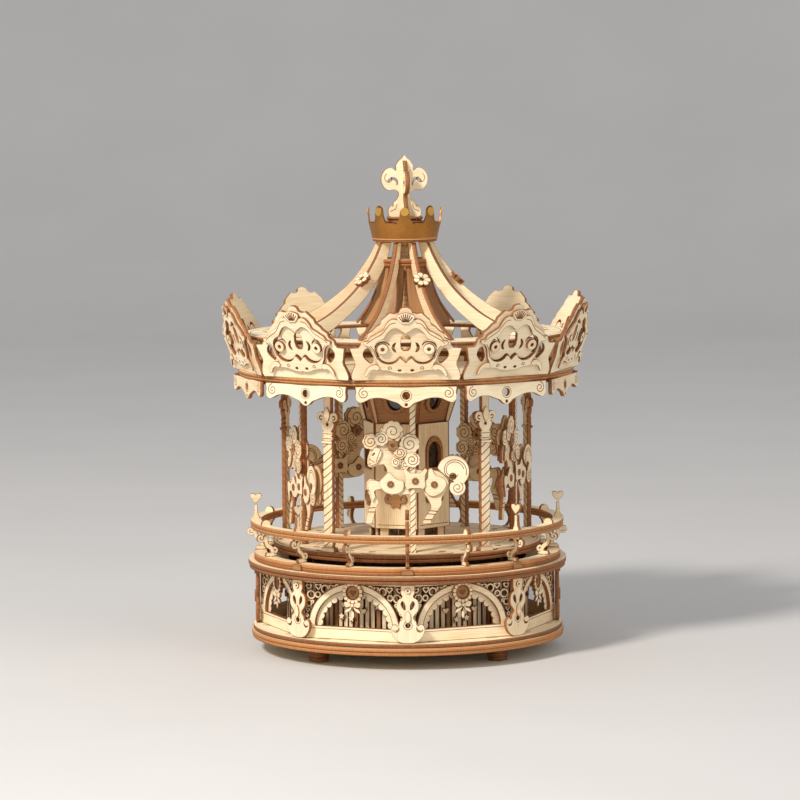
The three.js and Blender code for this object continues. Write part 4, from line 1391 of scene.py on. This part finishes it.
def crest_board(cutting, azimuth):
    def at(depth):
        return outward(azimuth, BOARD_FRONT + depth, CREST_FOOT, LEAN)

    cutting.plate(crest_back, 1.95, at(-2.0))
    cutting.plate(crest_frame, 1.7, at(-0.3))
    cutting.plate(shell, 0.9, at(0.35))
    for crest_leaf in crest_leaves:
        cutting.plate(crest_leaf, 0.9, at(0.3))
    height = on_board([(0, EYE_Z)])[0][1]
    for side in (-1, 1):
        cutting.plate(crest_ring, 1.8, at(-0.15) @ shift(EYE_X * side, height, 0))
    for i in range(-3, 4):
        ray = on_board([(0.42 * i, 184.0), (1.2 * i, 188.1 - 0.17 * i * i)])
        cutting.line(ray, 0.62, at(0.35))
    for points in frame_lines:
        outline = on_board(points)
        cutting.line(outline, 0.4, at(-0.3))
        cutting.line(flipped(outline), 0.4, at(-0.3))


crest = Cutting()
for k in range(10):
    crest_board(crest, 36 * k)
crest.plate(ring_shape(89.4, 86.9), 1.9, lying(CREST_FOOT + 2.0))
crest.make("crest_boards", ["crest"])
print("crest boards lean", LEAN, "degrees")

# %% [markdown]
# ## The roof
# A flat ring closes the top of the canopy. From it ten ribs sweep up to the crown. A rib is one curved
# plate standing on edge, so from the side one sees its pale face and from the front its dark cut edge.
# Inside them a small hoop holds a second, slimmer set of bent slats and four uprights, all in toasted
# wood: their darker brown is painted shade, for the shadow inside the roof. Five flowers are pinned half
# way up every other rib.

# %% Roof deck and ribs
deck = Cutting()
deck.plate(ring_shape(87.9, 62.1), 1.9, lying(top_of("roof_deck")))
for k in range(30):
    points = [on_circle(0, 0, 66, 12 * k), on_circle(0, 0, 84, 12 * k + 3)]
    deck.line(points, 0.35, lying(top_of("roof_deck")))
for radius in (65, 85):
    deck.line(circle(0, 0, radius), 0.4, lying(top_of("roof_deck")), closed=True)
deck.make("roof_deck_sheet", ["roof_deck"])

RIB_OUTER = [(15.6, 223.6), (21.0, 213.6), (31.4, 200.3), (46.7, 188.4), (61.2, 181.2), (78.0, 175.5)]
RIB_INNER = [(77.4, 175.0), (57.0, 175.0), (42.8, 182.0), (26.0, 195.4), (14.6, 210.6), (9.9, 223.6)]
RIB_THICK = 2.5
rib_shape = Shape(soft(RIB_OUTER, 5, False) + soft(RIB_INNER, 5, False))
SLAT_LINE = [(13.4, 212.2), (15.2, 202.0), (19.4, 191.0), (27.0, 180.0)]
slat_middle = np.array(soft(SLAT_LINE, 4, False))
slat_step = np.gradient(slat_middle, axis=0)
slat_step /= np.linalg.norm(slat_step, axis=1)[:, None]


def slat_frame(azimuth):
    """Middle, sideways and outward directions along a bent slat."""
    a = math.radians(azimuth)
    out = np.array([math.sin(a), -math.cos(a), 0.0])
    side = np.array([math.cos(a), math.sin(a), 0.0])
    outer = np.outer(-slat_step[:, 1], out) + np.outer(slat_step[:, 0], [0, 0, 1])
    middle = np.outer(slat_middle[:, 0], out) + np.outer(slat_middle[:, 1], [0, 0, 1])
    return middle, np.broadcast_to(side, middle.shape), outer


BLOOM_RADIUS = 28.6
BLOOM_HEIGHT = 204.0
BLOOM_TILT = 48
petal = soft([(1.5, 0.5), (2.6, 1.2), (4.1, 1.45), (4.85, 0.0), (4.1, -1.45), (2.6, -1.2), (1.5, -0.5)], 2)
PETALS = 7
petals = [Shape(moved(petal, 0, 0, 360 / PETALS * i + 90)) for i in range(PETALS)]
bloom_heart = Shape(circle(0, 0, 2.2), [circle(0, 0, 1.3)])
bloom_back = Shape(flower(0, 0, 4.2, PETALS, 0.3, 90 - 180 / PETALS))
ribs = Cutting()
for k in range(10):
    azimuth = 18 + 36 * k
    ribs.plate(rib_shape, RIB_THICK, spoke(azimuth, RIB_THICK))
    middle, across, outer = slat_frame(azimuth)
    # The inner slats are toasted: painted shade, as they sit in the shadow of the roof.
    ribs.strip(middle, across, outer, np.linspace(6.4, 9.6, len(middle)), 1.2, face="toasted_and_shade")
for top, radius in ((214.6, 15.4), (212.5, 15.0)):
    ribs.plate(ring_shape(radius, 11.0), 2.0, lying(top))
upright = Shape([(11.4, 210.6), (13.2, 210.6), (14.6, 184.0), (12.6, 184.0)])
for azimuth in (-14, 14, 166, 194):
    # The uprights are toasted too: painted shade inside the roof.
    ribs.plate(upright, 1.9, spoke(azimuth, 1.9), face="toasted_and_shade")
for k in range(5):
    place = outward(18 + 72 * k, BLOOM_RADIUS, BLOOM_HEIGHT, -BLOOM_TILT)
    ribs.plate(bloom_back, 1.3, place @ shift(0, 0, -0.5), face="toasted_and_shade")
    ribs.plate(bloom_heart, 1.3, place @ shift(0, 0, 0.8))
    for shape in petals:
        ribs.plate(shape, 1.5, place @ shift(0, 0, 1.0))
ribs.make("roof_rib_plates", ["roof_ribs"])
print("ribs:", 10, "blooms:", 5)

# %% [markdown]
# ## Crown and finial
# A disc of plywood closes the ribs. Round it stands a crown of brass-coloured sheet with eight rounded
# tongues, bent into a ring that widens upward, and a disc of brighter brass is set in each tongue as a
# painted highlight. In the crown stands the finial: two fleurs-de-lis slotted into each other at a right
# angle, so from nearly anywhere one sees a face and an edge. It stands on a small toasted plinth.

# %% Crown
crown_disc = Cutting()
# The top disc takes the lighter edge: painted light on its lit rim.
crown_disc.plate(Shape(circle(0, 0, 17.8)), 0.95, lying(top_of("crown_disc") - 0.05), edge="painted_lit")
crown_disc.plate(Shape(circle(0, 0, 17.4)), 0.9, lying(top_of("crown_disc") - 1.05))
crown_disc.make("crown_disc_sheets", ["crown_disc"])

BAND_FOOT = foot_of("crown_band") + 0.05
BAND_TOP = 234.2
CROWN_RADIUS = 19.9
CROWN_THICK = 0.7
CROWN_FOOT_RADIUS = 17.85
TONGUE_HALF = 2.9
TONGUE_TOP = top_of("crown_band") - 0.1
GAP_MIDDLE = 7.8
shoulder = TONGUE_TOP - TONGUE_HALF


def crown_height(offset):
    """Height of the crown's edge at a distance in mm from the middle of a tongue."""
    if offset < TONGUE_HALF:
        return shoulder - 1.0 + math.sqrt(TONGUE_HALF**2 - offset**2)
    share = min(1.0, (offset - TONGUE_HALF) / 1.6)
    low = BAND_TOP + 0.9 * (offset / GAP_MIDDLE - 0.5) ** 2
    return low + (1 - share) ** 1.6 * 3.4


side_offsets = [0.4, 1.2, 2.0, 2.6, 2.9, 3.05, 3.4, 3.9, 4.5, 5.2, 6.4]
offsets = [-GAP_MIDDLE] + [-x for x in reversed(side_offsets)] + side_offsets
columns = []
for k in range(8):
    for offset in offsets:
        columns.append((math.radians(45 * k) + offset / CROWN_RADIUS, crown_height(abs(offset))))
columns.sort()
ROWS = 9
crown_points = []
for angle, height in columns:
    for skin in (0.0, CROWN_THICK):
        for i in range(ROWS):
            share = i / (ROWS - 1)
            z = BAND_FOOT + (height - BAND_FOOT) * share
            flare = 2.0 * min(1.0, (z - BAND_FOOT) / 8.4) + max(0.0, z - 234.6) * 0.05
            radius = CROWN_FOOT_RADIUS + flare - skin
            crown_points.append((radius * math.sin(angle), -radius * math.cos(angle), z))
crown_faces = []
count = len(columns)
for c in range(count):
    a = c * 2 * ROWS
    b = ((c + 1) % count) * 2 * ROWS
    for i in range(ROWS - 1):
        crown_faces.append((a + i, b + i, b + i + 1, a + i + 1))
        crown_faces.append((a + ROWS + i + 1, b + ROWS + i + 1, b + ROWS + i, a + ROWS + i))
    crown_faces.append((a + ROWS - 1, b + ROWS - 1, b + 2 * ROWS - 1, a + 2 * ROWS - 1))
    crown_faces.append((a + ROWS, b + ROWS, b, a))
band = Cutting()
band.gather(crown_points, crown_points, 0.0, [("brass", crown_faces)])
# Brighter brass discs on the tongues: a painted highlight, the glint of a tongue that faces the lamp.
painted_glint = Shape(circle(0, 0, 2.3))
for k in range(8):
    band.plate(painted_glint, 0.6, outward(45 * k, 20.35, shoulder), face="painted_glint", edge="painted_glint")
crown = band.make("brass_crown", ["crown_band"])
crown.data.polygons.foreach_set("use_smooth", [True] * len(crown.data.polygons))
crown.data.set_sharp_from_angle(angle=math.radians(32))
print("crown of", count, "columns")

# %% Finial
FINIAL_FOOT = 237.0
TURN = 8
fleur_half = [(0, 0.1), (7.6, 0.1), (9.0, 2.0), (8.9, 4.6), (7.4, 6.4), (6.4, 5.8), (6.2, 8.0), (4.6, 9.4)]
fleur_half += [(3.4, 11.6), (3.6, 13.8), (6.0, 15.0), (8.8, 14.6), (11.4, 16.4), (12.8, 19.6), (12.4, 23.2)]
fleur_half += [(10.2, 26.2), (7.2, 27.0), (5.0, 25.4), (4.6, 26.2), (4.7, 28.2), (3.2, 30.6)]
fleur_half += [(1.4, 32.2), (0, 34.0)]
fleur_outline = [(x, FINIAL_FOOT + y) for x, y in mirrored(soft(fleur_half, 3, False))]
curl_cut = [(x, FINIAL_FOOT + y) for x, y in stroke(arc(6.6, 18.6, 2.5, 200, 20, 12), 0.6, 0.9, 1.5)]
fleur = Shape(fleur_outline, [curl_cut, flipped(curl_cut)])
FLEUR_THICK = 2.4
finial = Cutting()
for turn, drop in ((TURN, 0.0), (TURN + 90, 1.6)):
    place = outward(turn, FLEUR_THICK / 2) @ shift(0, -drop, 0)
    finial.plate(fleur, FLEUR_THICK, place)
    for side in (-1, 1):
        for depth in (0, FLEUR_THICK):
            hips = [(side * x, FINIAL_FOOT + y) for x, y in ((8.0, 3.2), (5.2, 4.4), (4.2, 7.2))]
            finial.line(hips, 0.4, place, depth)
            start = 60 if side > 0 else 120
            curl_line = spiral(side * 8.4, FINIAL_FOOT + 21.2, 3.0, 1.2, start, -0.8 * side, 12)
            finial.line(curl_line, 0.35, place, depth)
plinth = [(9.9, 237.35, 1.2), (9.3, 236.1, 0.9), (9.9, 235.15, 1.1)]
for radius, top, thickness in plinth:
    finial.plate(Shape(circle(0, 0, radius)), thickness, lying(top), face="toasted_and_shade")
finial.plate(Shape(circle(0, 0, 6.0)), 7.6, lying(234.0))
finial.make("fleur_finial", ["finial"])
print("finial outline has", len(fleur_outline), "points")

# %% [markdown]
# ## What stays as measured
# The music movement and the wave track are hidden behind the curtain and already have their true shapes,
# so those parts stay as they are. Brass, steel and plain plywood are assigned to them by name.

# %% Finishes of the kept parts
KEPT = {
    "mechanism_deck": plain_wood,
    "cam_ring": plain_wood,
    "main_shaft": plain_wood,
    "drive_gear": plain_wood,
    "movement_plate": movement_brass,
    "spring_barrel": movement_brass,
    "pin_cylinder": movement_brass,
    "drive_pinion": movement_brass,
    "tone_comb": movement_steel,
    "governor": movement_steel,
    "winding_key": movement_steel,
}
for name, finish in KEPT.items():
    node = frame["nodes"][name]
    node.data.materials.clear()
    node.data.materials.append(finish)
shown = [name for name, node in frame["nodes"].items() if not node.hide_render]
print("kept as measured:", sorted(shown))

# %% [markdown]
# ## Floor, light and camera
# The carousel stands on a plain pale floor that is flat far beyond it and then sweeps up all round. One
# rather hard lamp from the upper left throws the shadows to the right, a wide dim one on the right opens
# them, and the world gives an even fill. The camera stands two metres away, a little above the finial, so
# the discs are seen at a low angle, and a long lens keeps them slim.

# %% Floor and light


def floor_finish():
    paper = Finish("pale_floor")
    place = paper.node("ShaderNodeTexCoord", {}, {}, "Object")
    cloud = paper.noise(place, 6.0, 2.0)
    colour = paper.mix(tint(214, 211, 208), tint(206, 203, 200), cloud)
    return paper.close(Base_Color=colour, Roughness=0.9)


FLAT_TO = 2.4
SWEEP = 1.1
AROUND = 96
sweep_rings = [(0.6, 0.0), (FLAT_TO, 0.0)]
for degrees in range(6, 91, 6):
    a = math.radians(degrees)
    sweep_rings.append((FLAT_TO + SWEEP * math.sin(a), SWEEP * (1 - math.cos(a))))
floor_points = [(0.0, 0.0, 0.0)]
for radius, height in sweep_rings:
    for i in range(AROUND):
        floor_points.append((*on_circle(0, 0, radius, 360 * i / AROUND), height))
floor_faces = [(0, 1 + i, 1 + (i + 1) % AROUND) for i in range(AROUND)]
for ring in range(len(sweep_rings) - 1):
    for i in range(AROUND):
        a = 1 + ring * AROUND + i
        b = 1 + ring * AROUND + (i + 1) % AROUND
        floor_faces.append((a, a + AROUND, b + AROUND, b))
floor_mesh = bpy.data.meshes.new("pale_floor")
floor_mesh.from_pydata(floor_points, [], floor_faces)
floor_mesh.polygons.foreach_set("use_smooth", [True] * len(floor_mesh.polygons))
floor_mesh.materials.append(floor_finish())
floor = bpy.data.objects.new("pale_floor", floor_mesh)
bpy.context.scene.collection.objects.link(floor)

world = bpy.data.worlds.new("even_fill")
world.use_nodes = True
world.node_tree.nodes["Background"].inputs["Color"].default_value = (0.93, 0.96, 1.0, 1.0)
world.node_tree.nodes["Background"].inputs["Strength"].default_value = 0.55
bpy.context.scene.world = world


def lamp(name, place, aim, size, watts, colour):
    light = bpy.data.lights.new(name, "AREA")
    light.shape = "DISK"
    light.size = size
    light.energy = watts
    light.color = colour
    made = bpy.data.objects.new(name, light)
    made.location = place
    made.rotation_euler = (Vector(aim) - Vector(place)).to_track_quat("-Z", "Y").to_euler()
    bpy.context.scene.collection.objects.link(made)
    return made


HALF_WAY_UP = (0, 0, 0.13)
lamp("window_key", (-0.95, -1.25, 1.35), HALF_WAY_UP, 0.35, 38, (1.0, 0.95, 0.89))
lamp("wide_fill", (1.4, -1.3, 0.9), HALF_WAY_UP, 1.4, 7, (1.0, 0.97, 0.94))

# %% Camera
CAMERA_PLACE = (-0.0019, -2.0, 0.318)
LOOK_DOWN = 5.18
ROLL = 0.45
LONG_LENS = 164.7
camera_data = bpy.data.cameras.new("camera")
camera_data.sensor_width = 36
camera_data.lens = LONG_LENS
camera_data.clip_end = 50
camera = bpy.data.objects.new("camera", camera_data)
camera.location = CAMERA_PLACE
camera.rotation_euler = (math.radians(90 - LOOK_DOWN), math.radians(ROLL), 0)
bpy.context.scene.collection.objects.link(camera)
bpy.context.scene.camera = camera
bpy.context.scene.view_settings.view_transform = "Standard"
bpy.context.scene.view_settings.look = "None"
bpy.context.scene.view_settings.exposure = 0.0

# %% [markdown]
# ## The last count
# The number of made pieces and of their faces is printed.

# %% Pieces and faces
print("pieces:", len(made_pieces), "faces:", sum(len(p.data.polygons) for p in made_pieces))
